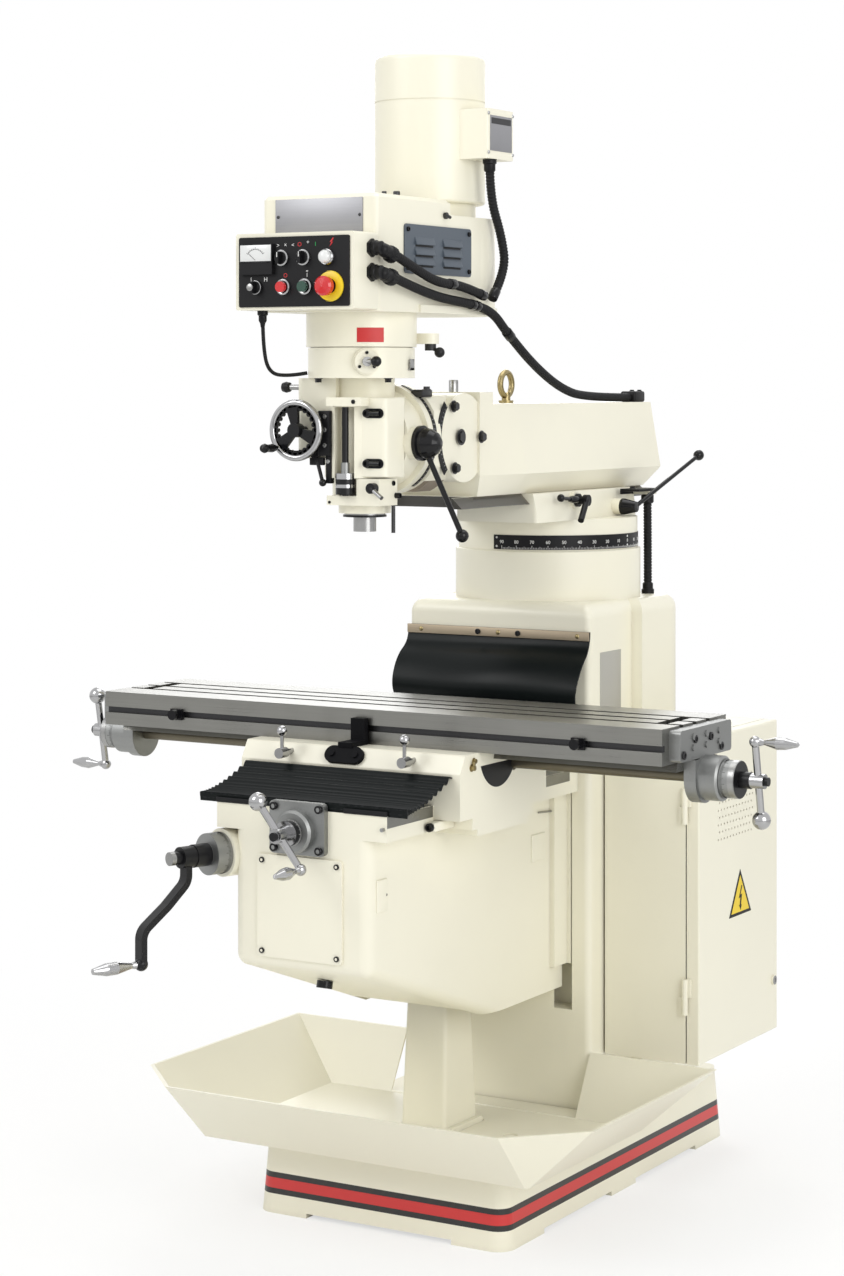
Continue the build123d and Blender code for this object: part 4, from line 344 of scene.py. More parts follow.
nodeFinish = {
    "bandedBase": "base_casting", "railedRam": "ram_casting", "groundSteel": "table_top",
    "ivoryCasting": "column_casting elevating_pedestal knee_casting saddle_casting turret_casting"
                    " ram_knuckle head_casting gear_housing belt_housing motor_housing",
    "ivorySheet": "chip_tray cabinet_body cabinet_door control_box",
    "turnedSteel": "elevating_screw spindle motor_rotor", "quillLock": "quill_lock",
    "rangeLever": "range_lever",
    "liftCrank": "elevating_crank", "crossCrank": "cross_screw", "tableScrew": "table_screw",
    "handwheel": "feed_handwheel", "pullKnob": "pull_knob", "feedSelector": "feed_selector",
    "quillNose": "quill",
    "stopScrew": "depth_stop", "brightChrome": "table_cranks table_lock_left table_lock_right",
    "castAluminium": "cross_bearing_bracket end_brackets spindle_pulley", "oldBrass": "eye_bolt feed_nuts",
    "blackRubber": "rear_way_cover front_way_cover drive_belt feed_cord main_conduit motor_conduit"
                   " panel_conduit column_conduit",
    "blackPlastic": "cabinet_electrics ram_clamp_lever voltage_selector power_selector range_selector",
    "panelBlack": "control_panel", "blackGloss": "quill_lever feed_lever ram_lever table_stops",
    "blackOxide": "saddle_stop_bracket", "signalRed": "stop_button emergency_stop",
    "signalGreen": "start_button"}
for finish, members in nodeFinish.items():
    for name in members.split():
        nodes[name].data.materials.clear()
        nodes[name].data.materials.append(finishes[finish])
print("nodes dressed")

# modelling helpers


def aim(place, axis):
    turn = Vector(axis).normalized().to_track_quat("Z", "Y").to_matrix().to_4x4()
    return Matrix.Translation(Vector(place) / 1000) @ turn


def bevelEdges(bm, edges, size, segments):
    bmesh.ops.bevel(bm, geom=edges, offset=size / 1000, affect="EDGES", segments=segments, profile=0.5,
                    material=-1)


def edgesOf(verts):
    return list(dict.fromkeys(edge for vert in verts for edge in vert.link_edges))


def roundBar(bm, start, end, radius, steps=24, tip=None):
    start, end = Vector(start), Vector(end)
    top = radius if tip is None else tip
    bmesh.ops.create_cone(bm, cap_ends=True, segments=steps, radius1=radius / 1000, radius2=top / 1000,
                          depth=(end - start).length / 1000, matrix=aim((start + end) / 2, end - start))


def ballForm(bm, place, radius):
    bmesh.ops.create_uvsphere(bm, u_segments=24, v_segments=14, radius=radius / 1000, matrix=aim(place, up))


def blockForm(bm, low, high, edge=0.0, segments=2):
    low, high = at(*low), at(*high)
    place = Matrix.Translation((low + high) / 2) @ Matrix.Diagonal((*(high - low), 1))
    verts = bmesh.ops.create_cube(bm, size=1.0, matrix=place)["verts"]
    if edge:
        bevelEdges(bm, edgesOf(verts), edge, segments)
    return verts


def turnedForm(bm, place, axis, profile, steps):
    # a profile of radius and height, spun round its axis
    points = [bm.verts.new(at(radius, 0, height)) for radius, height in profile]
    rims = [bm.edges.new(pair) for pair in zip(points, points[1:])]
    bmesh.ops.spin(bm, geom=points + rims, cent=home, axis=up, angle=2 * pi, steps=steps, use_merge=True,
                   use_duplicate=False)
    fresh, queue = dict.fromkeys(points), list(points)
    while queue:
        for edge in queue.pop().link_edges:
            queue.extend(vert for vert in edge.verts if vert not in fresh)
            fresh.update(dict.fromkeys(edge.verts))
    bmesh.ops.remove_doubles(bm, verts=list(fresh), dist=1e-6)
    fresh = [vert for vert in fresh if vert.is_valid]
    bmesh.ops.transform(bm, matrix=aim(place, axis), verts=fresh)
    faces = dict.fromkeys(face for vert in fresh for face in vert.link_faces)
    bmesh.ops.recalc_face_normals(bm, faces=list(faces))


def hexBolt(bm, place, axis, radius, height):
    place, axis = Vector(place), Vector(axis).normalized()
    roundBar(bm, place, place + axis * 1.5, radius * 1.35, 20)
    roundBar(bm, place, place + axis * height, radius, 6, radius * 0.96)


def capScrew(bm, place, axis, radius, height):
    turnedForm(bm, place, axis, [
        (0, height * 0.45), (radius * 0.5, height * 0.45), (radius * 0.55, height), (radius * 0.9, height),
        (radius, height * 0.85), (radius, 0), (0, 0)], 20)


def capsule(bm, start, end, radius, thick, axis):
    # flat bar with round ends, seen along the axis
    start, end, axis = Vector(start), Vector(end), Vector(axis).normalized()
    lift = axis * thick
    for spot in (start, end):
        roundBar(bm, spot, spot + lift, radius, 28)
    across = (end - start).normalized().cross(axis) * radius
    low, high = start - across, end + across + lift
    blockForm(bm, map(min, low, high), map(max, low, high))


def arcStrip(bm, place, axis, start, radius, width, thick, first, last, steps):
    # a flat bar bent round an axis, from one angle to another about the start direction
    place, axis = at(*place), Vector(axis).normalized()
    way = Matrix.Rotation(radians(first), 3, axis) @ Vector(start).normalized()
    half = axis * width / 2000
    inner, outer = place + way * (radius / 1000), place + way * ((radius + thick) / 1000)
    face = bm.faces.new([bm.verts.new(corner)
                         for corner in (inner - half, outer - half, outer + half, inner + half)])
    bmesh.ops.spin(bm, geom=[face, *face.edges, *face.verts], cent=place, axis=axis,
                   angle=radians(last - first), steps=steps, use_merge=False, use_duplicate=False)
    bmesh.ops.recalc_face_normals(bm, faces=bm.faces[:])


def barsRound(bm, place, axis, start, bars, thick, sides):
    # thin bars round an axis, each with its angle and two ends of radius and height
    axis, start = Vector(axis).normalized(), Vector(start).normalized()
    for angle, *ends in bars:
        way = Matrix.Rotation(radians(angle), 3, axis) @ start
        foot, head = (Vector(place) + way * radius + axis * height for radius, height in ends)
        roundBar(bm, foot, head, thick, sides)


def cutAbove(bm, height, normal):
    geom = bm.verts[:] + bm.edges[:] + bm.faces[:]
    cut = bmesh.ops.bisect_plane(bm, geom=geom, plane_co=at(0, 0, height), plane_no=normal, clear_outer=True)
    return [edge for edge in cut["geom_cut"] if isinstance(edge, bmesh.types.BMEdge)]


def setPiece(name, mesh, body, finish):
    mesh.materials.clear()
    mesh.materials.append(finishes[finish])
    piece = bpy.data.objects.new(name, mesh)
    bpy.context.scene.collection.objects.link(piece)
    if body:
        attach(piece, body)
    return piece


def finishPiece(name, bm, body, finish, sharp=38):
    for edge in bm.edges:
        edge.smooth = edge.calc_face_angle(0.0) < radians(sharp)
    for face in bm.faces:
        face.smooth = True
    mesh = bpy.data.meshes.new(name)
    bm.to_mesh(mesh)
    bm.free()
    return setPiece(name, mesh, body, finish)


def makePiece(name, body, finish, slot, *forms):
    # each form is a modelling function and its sizes
    bm = bmesh.new()
    for form, *sizes in forms:
        form(bm, *sizes)
    return finishPiece(name, bm, body, finish)


def drawCurve(name, dimensions, kind, points):
    curve = bpy.data.curves.new(name, "CURVE")
    curve.dimensions = dimensions
    spline = curve.splines.new(kind)
    spline.points.add(len(points) - 1)
    for point, place in zip(spline.points, points):
        point.co = (*at(*place), 1)
    return curve, spline


def curveMesh(curve):
    holder = bpy.data.objects.new(curve.name, curve)
    mesh = bpy.data.meshes.new_from_object(holder)
    bpy.data.objects.remove(holder)
    return mesh


def setOnPlane(mesh, place, across, rise):
    across, rise = Vector(across).normalized(), Vector(rise).normalized()
    turn = Matrix((across, rise, across.cross(rise))).transposed().to_4x4()
    mesh.transform(Matrix.Translation(Vector(place) / 1000) @ turn)


def lettering(name, words, place, across, size, body, finish):
    # generic marks only, cut as flat shapes
    curve = bpy.data.curves.new(name, "FONT")
    curve.body = words
    curve.size = size / 1000
    curve.align_x = curve.align_y = "CENTER"
    curve.extrude = 0.0003
    mesh = curveMesh(curve)
    setOnPlane(mesh, place, across, up)
    mesh.name = name
    return setPiece(name, mesh, body, finish)


def flatShape(bm, points, place, across, thick=0.6):
    # an outline filled as a flat curve and set upright on a plane
    curve, spline = drawCurve("outline", "2D", "POLY", [(x, y, 0) for x, y in points])
    curve.fill_mode = "BOTH"
    curve.extrude = thick / 2000
    spline.use_cyclic_u = True
    mesh = curveMesh(curve)
    setOnPlane(mesh, place, across, up)
    bm.from_mesh(mesh)
    bpy.data.meshes.remove(mesh)


print("helpers ready")

# control panel: meter, bezels, lamp, marks

panelPlan = {
    "face": -871.0, "grip": -891.0, "upper": 2051, "lower": 1992,
    "bezels": [(-27, 2051, 15), (25, 2051, 15), (-23, 1992, 15), (29, 1992, 15), (-90, 1992, 13)],
    "selectors": {"voltage": -27, "power": 25}, "rangeKnob": -93, "lamp": (81, 2051),
    "stopRing": (89, 1992, 31)}
meterPlan = {"left": -125.5, "right": -46.5, "split": 2045, "high": 2080, "glass": -880.0, "scale": 22.0,
             "swing": 55, "marks": 11}


def makePanel(face, grip, upper, lower, bezels, selectors, rangeKnob, lamp, stopRing):
    lampX, lampZ = lamp
    makePiece("panelBezels", "head", "brightChrome", "chrome", *[
        (turnedForm, (x, face, z), front,
         [(r - 3.6, 4.2), (r - 3.4, 6.2), (r - 1.5, 6.6), (r + 1.2, 5.2), (r + 1.8, 0)], 40)
         for x, z, r in bezels],
        (turnedForm, (lampX, face, lampZ), front,
         [(13.4, 5.8), (13.6, 7.6), (15.2, 7.8), (17.4, 5.0), (17.8, 0)], 40))
    makePiece("panelLamp", "head", "lampWhite", "ivory_paint", (
        turnedForm, (lampX, face - 6, lampZ), front,
        [(13.3, 0), (13.3, 6), (12, 10), (8, 13.2), (0, 14.4)], 40))
    x, z, r = stopRing
    makePiece("stopRing", "head", "signalYellow", "brass", (
        turnedForm, (x, face, z), front, [(15, 4.3), (r - 2, 4.3), (r, 3.0), (r, 0)], 56))
    for name, x in selectors.items():
        makePiece(name + "Pointer", name + "_selector", "markWhite", "black_plastic", (
            blockForm, (x - 0.9, grip - 0.4, upper + 1), (x + 0.9, grip + 1, upper + 11)))
    # a steel disc on the black range knob's front stands for a chrome highlight: painted highlight
    makePiece("rangeKnobHighlight", "range_selector", "turnedSteel", "black_plastic", (
        turnedForm, (rangeKnob, grip, lower), front, [(0, 1.4), (6, 1.2), (7.4, 0.4), (7.4, -3)], 28))


def makeMeter(left, right, split, high, glass, scale, swing, marks):
    makePiece("meterFace", "head", "lampWhite", "ivory_paint", (
        blockForm, (left + 2, glass - 0.8, split), (right - 2, glass + 1, high - 2), 0.4))
    pivot = Vector(((left + right) / 2, glass - 1.1, split + 2))
    ticks = [(swing * (2 * step / (marks - 1) - 1), (scale, 0), (scale + (2.5 if step % 5 else 4.5), 0))
             for step in range(marks)]
    makePiece("meterMarks", "head", "blackGloss", "black_plastic",
              (barsRound, pivot, front, up, ticks, 0.35, 6),
              (arcStrip, pivot, front, up, scale, 0.6, 0.5, -swing, swing, 40),
              (roundBar, pivot, pivot + Vector((-16, 0, 13)), 0.4, 6),
              (blockForm, (left + 6, glass - 1.2, split - 3), (left + 73, glass + 1.0, split - 1.8), 0.2))
    print("panel pieces made")


makePanel(**panelPlan)
makeMeter(**meterPlan)

markPlan = [
    ("markRight", ">", (-37, 2076), 12, "markWhite"), ("markCross", "x", (-19, 2078), 11, "markWhite"),
    ("markLeft", "<", (-1, 2076), 12, "markWhite"), ("markOff", "O", (15, 2077), 12, "signalRed"),
    ("markPlus", "+", (35, 2081), 12, "markWhite"), ("markOn", "I", (53, 2077), 12, "markGreen"),
    ("markLow", "L", (-101, 2008), 13, "markWhite"), ("markHigh", "H", (-67, 2008), 13, "markWhite"),
    ("markStop", "O", (-19, 2015), 12, "signalRed"), ("markStart", "I", (33, 2015), 12, "markWhite"),
    ("markBar", "-", (33, 2025), 20, "markWhite")]
for name, words, (x, z), size, finish in markPlan:
    lettering(name, words, (x, panelPlan["face"] - 0.1, z), right, size, "head", finish)
boltMark = [(3, 9), (-4, 0), (0, 1), (-4, -9), (4, 1), (0, 0), (6, 9)]
makePiece("lampMark", "head", "signalRed", "black_plastic", (
    flatShape, boltMark, (91, panelPlan["face"] - 0.3, 2080), right))

platePlan = {"left": -106, "right": 106, "low": 2104, "high": 2176, "face": -775.0, "thick": 2.0}


def makeFrontPlate(left, right, low, high, face, thick):
    makePiece("frontPlate", "head", "brushedPlate", "cast_aluminium", (
        blockForm, (left, face - thick, low), (right, face, high), 0.6))
    makePiece("plateRivets", "head", "darkSteel", "black_steel", *[
        (turnedForm, (x, face - thick, (low + high) / 2), front, [(0, 2.4), (2.4, 2), (3.6, 0)], 16)
        for x in (left + 7, right - 7)])


makeFrontPlate(**platePlan)

ventPlan = {"side": 140.0, "near": -672, "far": -395, "low": 2024, "high": 2126, "thick": 3.0, "corner": 8,
            "columns": (-593, -478), "tops": (2101, 2080, 2059), "length": 78, "tall": 17, "depth": 6.5}


def makeVent(side, near, far, low, high, thick, corner, columns, tops, length, tall, depth):
    face = side + thick
    bm = bmesh.new()
    blockForm(bm, (side, near, low), (face, far, high))
    uprights = [e for e in bm.edges if abs((e.verts[0].co - e.verts[1].co).normalized().x) > 0.9]
    bevelEdges(bm, uprights, corner, 5)
    finishPiece("ventPlate", bm, "head", "ventBlue")

    # each hood leans out from its top edge and is open below
    hoods, hoodShades = bmesh.new(), []
    for y in columns:
        first, last = y - length / 2, y + length / 2
        for top in tops:
            foot = top - tall
            made = blockForm(hoods, (face - 1, first, foot), (face + depth, last, top))
            for vert in made:
                if vert.co.z > (foot + 1) / 1000 and vert.co.x > face / 1000:
                    vert.co.x = (face + 0.6) / 1000
            rims = [e for e in edgesOf(made) if min(v.co.x for v in e.verts) > (face - 0.5) / 1000]
            bevelEdges(hoods, rims, 2, 3)
            # a dark strip on the plate under each hood's foot is a painted shadow, and a dark plate across
            # its open bottom is painted shade
            hoodShades.append((blockForm, (face - 0.5, first + 3, foot - 4), (face + 0.25, last - 3, foot + 1)))
            hoodShades.append((blockForm, (face - 0.5, first + 4, foot - 0.4),
                         (face + depth - 2, last - 4, foot + 0.2)))
    finishPiece("ventHoods", hoods, "head", "ventBlue")
    screws = [(capScrew, (face, y, z), right, 5, 4) for y in (near + 12, far - 12)
              for z in (low + 11, high - 11)]
    makePiece("ventShadesAndScrews", "head", "blackPlastic", "black_plastic", *hoodShades, *screws)
    print("vent made")


makeVent(**ventPlan)

# conduits and the thin feed cord: the routes repeat the part's own points

conduitPlan = {"radius": 10.0, "groove": 1.3, "pitch": 7.0, "sides": 16}
cordPlan = {"radius": 4.0, "step": 6.0, "sides": 12}
routes = {
    "motorConduit": [(160, -345, 2279), (160, -345, 2200), (166, -300, 2110), (168, -288, 2040),
                     (164, -342, 1979)],
    "panelConduit": [(142, -803, 2070), (174, -803, 2070), (174, -690, 2034), (172, -590, 2006),
                     (169, -480, 2004), (165, -378, 1984)],
    "mainConduit": [(142, -803, 2021), (172, -803, 2021), (168, -690, 1996), (162, -560, 1975),
                    (160, -420, 1966), (160, -330, 1950), (156, -262, 1908), (140, -110, 1838),
                    (118, 60, 1786), (98, 220, 1764), (82, 490, 1763)],
    "columnConduit": [(185, 378, 1300), (185, 378, 1440), (183, 380, 1534)],
    "feedCord": [(-112, -815, 1946), (-112, -815, 1880), (-135, -760, 1818), (-128, -692, 1812),
                 (-96.6, -670.2, 1819)],
    "apron": [(0, -22, 1240), (0, -22, 1202), (0, -72, 1168), (0, -104, 1104), (0, -76, 1058), (0, -76, 986),
              (0, -150, 984), (0, -289.5, 984)]}


def routeLine(name):
    curve, spline = drawCurve(name, "3D", "NURBS", routes[name])
    curve.resolution_u = 30
    spline.order_u = 3
    spline.use_endpoint_u = True
    mesh = curveMesh(curve)
    line = [v.co.copy() for v in mesh.vertices]
    bpy.data.meshes.remove(mesh)
    return line


def lineLength(line):
    return sum((b - a).length for a, b in zip(line, line[1:]))


def pointAlong(line, distance):
    for a, b in zip(line, line[1:]):
        span = (b - a).length
        if distance <= span or b is line[-1]:
            return a.lerp(b, min(1.0, distance / span)), (b - a).normalized()
        distance -= span


def tubeAlong(bm, line, stations, sides):
    # a ring is drawn out from station to station, turned to follow the line
    place, way = pointAlong(line, stations[0][0])
    turn = way.to_track_quat("Z", "Y")
    spot = Matrix.Translation(place) @ turn.to_matrix().to_4x4()
    size = stations[0][1]
    made = bmesh.ops.create_circle(bm, cap_ends=False, segments=sides, radius=size / 1000, matrix=spot)
    ring = edgesOf(made["verts"])
    bmesh.ops.edgeloop_fill(bm, edges=ring)
    for distance, radius in stations[1:]:
        place, newWay = pointAlong(line, distance)
        turn = way.rotation_difference(newWay) @ turn
        way = newWay
        nextSpot = Matrix.Translation(place) @ turn.to_matrix().to_4x4()
        made = bmesh.ops.extrude_edge_only(bm, edges=ring)["geom"]
        verts = [g for g in made if isinstance(g, bmesh.types.BMVert)]
        ring = [g for g in made if isinstance(g, bmesh.types.BMEdge)]
        bmesh.ops.transform(bm, matrix=nextSpot @ Matrix.Scale(radius / size, 4) @ spot.inverted(),
                            verts=verts)
        spot, size = nextSpot, radius
    bmesh.ops.edgeloop_fill(bm, edges=ring)
    bmesh.ops.recalc_face_normals(bm, faces=bm.faces[:])


def ribStations(first, last):
    crest, pitch = conduitPlan["radius"], conduitPlan["pitch"]
    low = crest - conduitPlan["groove"]
    count = max(2, round((last - first) * 1000 / pitch))
    step = (last - first) / count
    shape = ((0.0, low), (0.22, crest), (0.6, crest), (0.8, low))
    return [(first + (rib + share) * step, radius) for rib in range(count)
            for share, radius in shape] + [(last, low)]


def clipLine(line, first, last):
    # the points of one stretch of a line, for the cord's own measure
    points = [pointAlong(line, first)[0]]
    walked = 0.0
    for a, b in zip(line, line[1:]):
        walked += (b - a).length
        if first < walked < last:
            points.append(b)
    return points + [pointAlong(line, last)[0]]


def makeCord(name, plan, line, stations, body, node):
    bm = bmesh.new()
    tubeAlong(bm, line, stations, plan["sides"])
    piece = finishPiece(name, bm, body, "blackRubber", sharp=60)
    if node:
        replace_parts(piece, node)
    return piece


def makeConduit(name, line, body, node, first=0.0, last=None):
    last = lineLength(line) if last is None else last
    path = clipLine(line, first, last)
    return makeCord(name, conduitPlan, line, ribStations(first, last), body, node)


def wrapRing(bm, line, distance, extra, width):
    place, way = pointAlong(line, distance)
    radius, half = conduitPlan["radius"] + extra, width / 2
    turnedForm(bm, place * 1000, way, [
        (radius - 3, -half), (radius - 0.4, -half), (radius, -half + 0.8), (radius, half - 0.8),
        (radius - 0.4, half), (radius - 3, half)], 24)


def elbowFitting(bm, wall, outlet, away):
    # flange nut at the wall, short neck, then a fat nut on the conduit's own line
    roundBar(bm, wall, Vector(wall) + Vector((6, 0, 0)), 19, 6)
    turnedForm(bm, wall, right, [(12, 5), (15.5, 6), (15.5, 14), (13.5, 16), (13.5, 26), (0, 27)], 28)
    ballForm(bm, outlet, 13.8)
    turnedForm(bm, outlet, away,
               [(12.5, 2), (14.2, 4), (14.2, 18), (16.4, 20), (16.4, 36), (13, 40), (10.2, 40)], 28)
    ribs = [(angle, (16.2, 21), (16.2, 35)) for angle in range(0, 360, 20)]
    barsRound(bm, outlet, away, away.orthogonal(), ribs, 1.3, 6)


wrapPlan = {"joint": 0.585, "leave": 0.42, "spacing": 0.02, "elbow": 0.026, "nut": 0.06, "end": 0.012,
            "second": 0.15}
glands = {
    "motorGland": ("head", (160, -345, 2279), (0, 0, -1), 28,
                   [(0, -1), (15, 0), (15, 9), (12.5, 11), (12.5, 24), (10.6, 27), (10.4, 27)]),
    "feedGland": ("head", (-112, -815, 1946), (0, 0, -1), 24,
                  [(0, -1), (11, 0), (11, 8), (8.5, 10), (8.5, 20), (5.4, 26), (4.2, 34), (4.0, 34)]),
    "columnGland": ("column", (185, 378, 1299.5), up, 28,
                    [(0, 0), (15, 0), (15, 10), (12.4, 12), (12.4, 24), (10.4, 26)])}


def makeConduits(joint, leave, spacing, elbow, nut, end, second):
    lines = {name: routeLine(name) for name in routes}
    panelLine, mainLine, motorLine = lines["panelConduit"], lines["mainConduit"], lines["motorConduit"]
    makePiece("panelGlands", "head", "blackPlastic", "black_plastic", *[
        (elbowFitting, routes[name][0], pointAlong(lines[name], elbow)[0] * 1000,
         pointAlong(lines[name], nut)[1])
        for name in ("panelConduit", "mainConduit")])
    for name, (body, place, way, steps, profile) in glands.items():
        makePiece(name, body, "blackPlastic", "black_plastic", (turnedForm, place, way, profile, steps))

    makeConduit("motorConduit", motorLine, "head", "motor_conduit")
    makeConduit("panelConduit", panelLine, "head", "panel_conduit")
    ahead = makeConduit("mainConduitFront", mainLine, None, "main_conduit", last=joint)
    rear = makeConduit("mainConduitRear", mainLine, None, None, first=joint)
    meet = pointAlong(mainLine, joint)[0]
    pointAlong(mainLine, leave)[0]
    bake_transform(ahead)
    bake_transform(rear)
    column = makeConduit("columnConduit", lines["columnConduit"], None, "column_conduit")
    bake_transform(column)

    panelEnd = lineLength(panelLine)
    makePiece("tapeWraps", "head", "blackGloss", "black_plastic",
              (wrapRing, mainLine, leave - spacing, 1.2, 16), (wrapRing, mainLine, leave, 1.2, 16),
              (wrapRing, panelLine, panelEnd - end, 1.2, 22),
              (wrapRing, panelLine, panelEnd - second, 1.2, 22),
              (wrapRing, motorLine, lineLength(motorLine) - end, 1.3, 24))
    makePiece("conduitJoiner", "knuckle", "blackPlastic", "black_plastic",
              (wrapRing, mainLine, joint, 1.6, 26))
    makePiece("ramCableEntry", "ram", "blackPlastic", "black_plastic",
              (blockForm, (62, 478, 1752), (102, 534, 1778), 5, 3),
              *[(hexBolt, (x, 522, 1777.5), up, 5, 4) for x in (72, 92)])

    line = lines["feedCord"]
    total = lineLength(line)
    count = round(total * 1000 / cordPlan["step"])
    stations = [(total * step / count, cordPlan["radius"]) for step in range(count + 1)]
    makeCord("feedCord", cordPlan, line, stations, "head", "feed_cord")
    print("conduits made")


makeConduits(**wrapPlan)

# rubber way covers: an apron hung from the column and a pleated one in front of the saddle

apronPlan = {"half": 236.0, "thick": 0.003, "columns": 40, "rows": 36, "belly": 9.0, "ripple": 3.0,
             "split": 1014, "freeFrom": 0.08, "freeFor": 0.47, "waves": (4.2, 5.0), "flare": 0.022,
             "waist": 0.03}
apronParts = [
    {"name": "rubberApron", "bodies": ("column", "knee"), "start": (0, -22, 1205), "end": (0, -76, 1016),
     "rests": ["column_casting"]},
    {"name": "apronFlap", "bodies": ("knee", "saddle"), "start": (0, -80, 984), "end": (0, -287, 984),
     "rests": ["knee_casting", "saddle_casting"]}]


def thickSheet(name, bm, thick):
    bmesh.ops.recalc_face_normals(bm, faces=bm.faces[:])
    area = sum(face.calc_area() for face in bm.faces)
    bmesh.ops.solidify(bm, geom=bm.faces[:], thickness=thick)
    return finishPiece(name, bm, None, "rubberSheet", sharp=50), area


def apronPiece(part, line, total, first, last):
    plan = apronPlan
    bm = bmesh.new()
    bmesh.ops.create_grid(bm, x_segments=plan["columns"], y_segments=plan["rows"], size=1.0)
    for vert in bm.verts:
        side, down = vert.co.x, first + (last - first) * (1 - vert.co.y) / 2
        place, way = pointAlong(line, total * down)
        out = Vector(right).cross(way)
        free = sin(pi * min(1.0, max(0.0, (down - plan["freeFrom"]) / plan["freeFor"])))
        ripple = plan["ripple"] * sin(plan["waves"][0] * side + plan["waves"][1] * down)
        swell = free * (plan["belly"] * (1 - side * side) + ripple)
        wide = plan["half"] * (1 + plan["flare"] * free - plan["waist"] * sin(pi * down) ** 3)
        vert.co = place + at(side * wide, 0, 0) - out * swell / 1000
    piece = thickSheet(part["name"], bm, plan["thick"])[0]
    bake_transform(piece)
    print(part["name"], "length", round(total * (last - first), 3))
    return piece


def makeApron():
    line = routeLine("apron")
    total = lineLength(line)
    shares = [step / 400 for step in range(401)]
    split = next(s for s in shares if pointAlong(line, total * s)[0].z < apronPlan["split"] / 1000)
    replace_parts(apronPiece(apronParts[0], line, total, 0.0, split), "rear_way_cover")
    apronPiece(apronParts[1], line, total, split, 1.0)


stripPlan = {"half": 236, "low": 1220, "high": 1240, "back": -24.2, "face": -28.0, "screws": (-199, 4, 207),
             "capScrews": (-48, 56)}


def makeStrip(half, low, high, back, face, screws, capScrews):
    middle = (low + high) / 2
    makePiece("clampStrip", "column", "dullBrass", "brass",
              (blockForm, (-half, face, low), (half, back, high), 0.8))
    makePiece("stripScrews", "column", "oldBrass", "brass", *[
        (turnedForm, (x, face, middle), front, [(0, 2.2), (3.0, 2.0), (5.2, 0.4), (5.4, 0)], 20)
        for x in screws])
    makePiece("stripCapScrews", "column", "blackGloss", "black_steel", *[
        (capScrew, (x, face, middle), front, 6.5, 3) for x in capScrews])


pleatPlan = {"half": 250.0, "thick": 0.0024, "columns": 24, "pleats": 14, "perPleat": 8, "rise": 8.0,
             "back": -662.3, "front": -841.0, "low": 944.0, "lift": 50.0, "droop": 4.0, "crowd": 1.9,
             "fall": 3.2}


def makePleats():
    plan = pleatPlan
    low, ahead, back, wide = plan["low"], plan["front"], plan["back"], 2 * plan["half"] / 1000
    bm = bmesh.new()
    bmesh.ops.create_grid(bm, x_segments=plan["columns"], y_segments=plan["pleats"] * plan["perPleat"],
                          size=1.0)
    for vert in bm.verts:
        side, share = vert.co.x, (1 - vert.co.y) / 2
        y = back + (ahead - back) * (1 - (1 - share) ** plan["crowd"])
        wave = (1 - cos(2 * pi * plan["pleats"] * share)) / 2
        sag = plan["droop"] * side ** 4 * (1 - share) * share
        z = low + plan["lift"] * (1 - share) ** plan["fall"] + plan["rise"] * wave - sag
        vert.co = at(side * plan["half"], y, z)
    cover, area = thickSheet("pleatedCover", bm, plan["thick"])
    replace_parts(cover, "front_way_cover")
    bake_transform(cover)
    print("pleated cover flat length", round(area / wide, 3))


makeApron()
makeStrip(**stripPlan)
makePleats()

# turret, ram and knuckle fittings

bandPlan = {"centre": (0, 223), "radius": 210.4, "low": 1417.0, "high": 1450.0, "first": -98.0, "last": 92.0,
            "zero": -2.0, "thick": 1.2}


def makeDegreeBand(centre, radius, low, high, first, last, zero, thick):
    def ringPoint(angle, reach, height):
        turn = radians(angle)
        return centre[0] + reach * cos(turn), centre[1] + reach * sin(turn), height

    makePiece("degreeBand", "turret", "blackPlastic", "black_plastic", (
        arcStrip, (*centre, (low + high) / 2), up, right, radius, high - low, thick, first, last, 90))
    reach = radius + thick
    ticks = []
    for degree in range(-90, 91):
        tall = 8.0 if degree % 10 == 0 else 6.0 if degree % 5 == 0 else 4.0
        ticks.append((degree + zero, (reach, low + 1), (reach, low + 1 + tall)))
    rivets = [(ringPoint(angle, reach, height), ringPoint(angle, 1, 0))
              for angle in (first + 2.2, last - 2.2, zero) for height in (low + 7, high - 6)]
    makePiece("degreeTicks", "turret", "markWhite", "ivory_paint",
              (barsRound, (*centre, 0), up, right, ticks, 0.5, 5),
              *[(turnedForm, spot, Vector(way) - Vector((*centre, 0)), [(0, 1.0), (1.6, 0.8), (2.6, 0)], 12)
                for spot, way in rivets])
    for degree in range(-90, 91, 10):
        turn = radians(degree + zero)
        lettering(f"degree{degree + 90}", str(abs(degree)), ringPoint(degree + zero, reach + 0.2, high - 16),
                  (-sin(turn), cos(turn), 0), 10.5, "turret", "markWhite")


tiltPlan = {"place": (0, -505, 1680), "radius": 118.4, "width": 11.0, "first": -72, "last": 58, "thick": 1.2}
nodPlan = {"centre": (112.9, -372, 1680), "inner": 99.0, "outer": 117.0, "half": 42, "ticks": (100.5, 106)}


def makeTiltScale(place, radius, width, first, last, thick):
    makePiece("tiltScale", "knuckle", "blackPlastic", "black_plastic", (
        arcStrip, place, front, right, radius, width, thick, -first, -last, 60))
    reach = radius + thick + 0.1
    ticks = [(step, (reach, 4.6 if step % 2 else 3.2), (reach, -1)) for step in range(first + 2, last, 5)]
    makePiece("tiltTicks", "knuckle", "markWhite", "ivory_paint",
              (barsRound, place, front, right, ticks, 0.45, 5))
    makePiece("tiltPointer", "knuckle", "darkSteel", "black_steel",
              (blockForm, (66, -520, 1768), (96, -478, 1784), 3), (hexBolt, (88, -490, 1783.5), up, 7, 7))


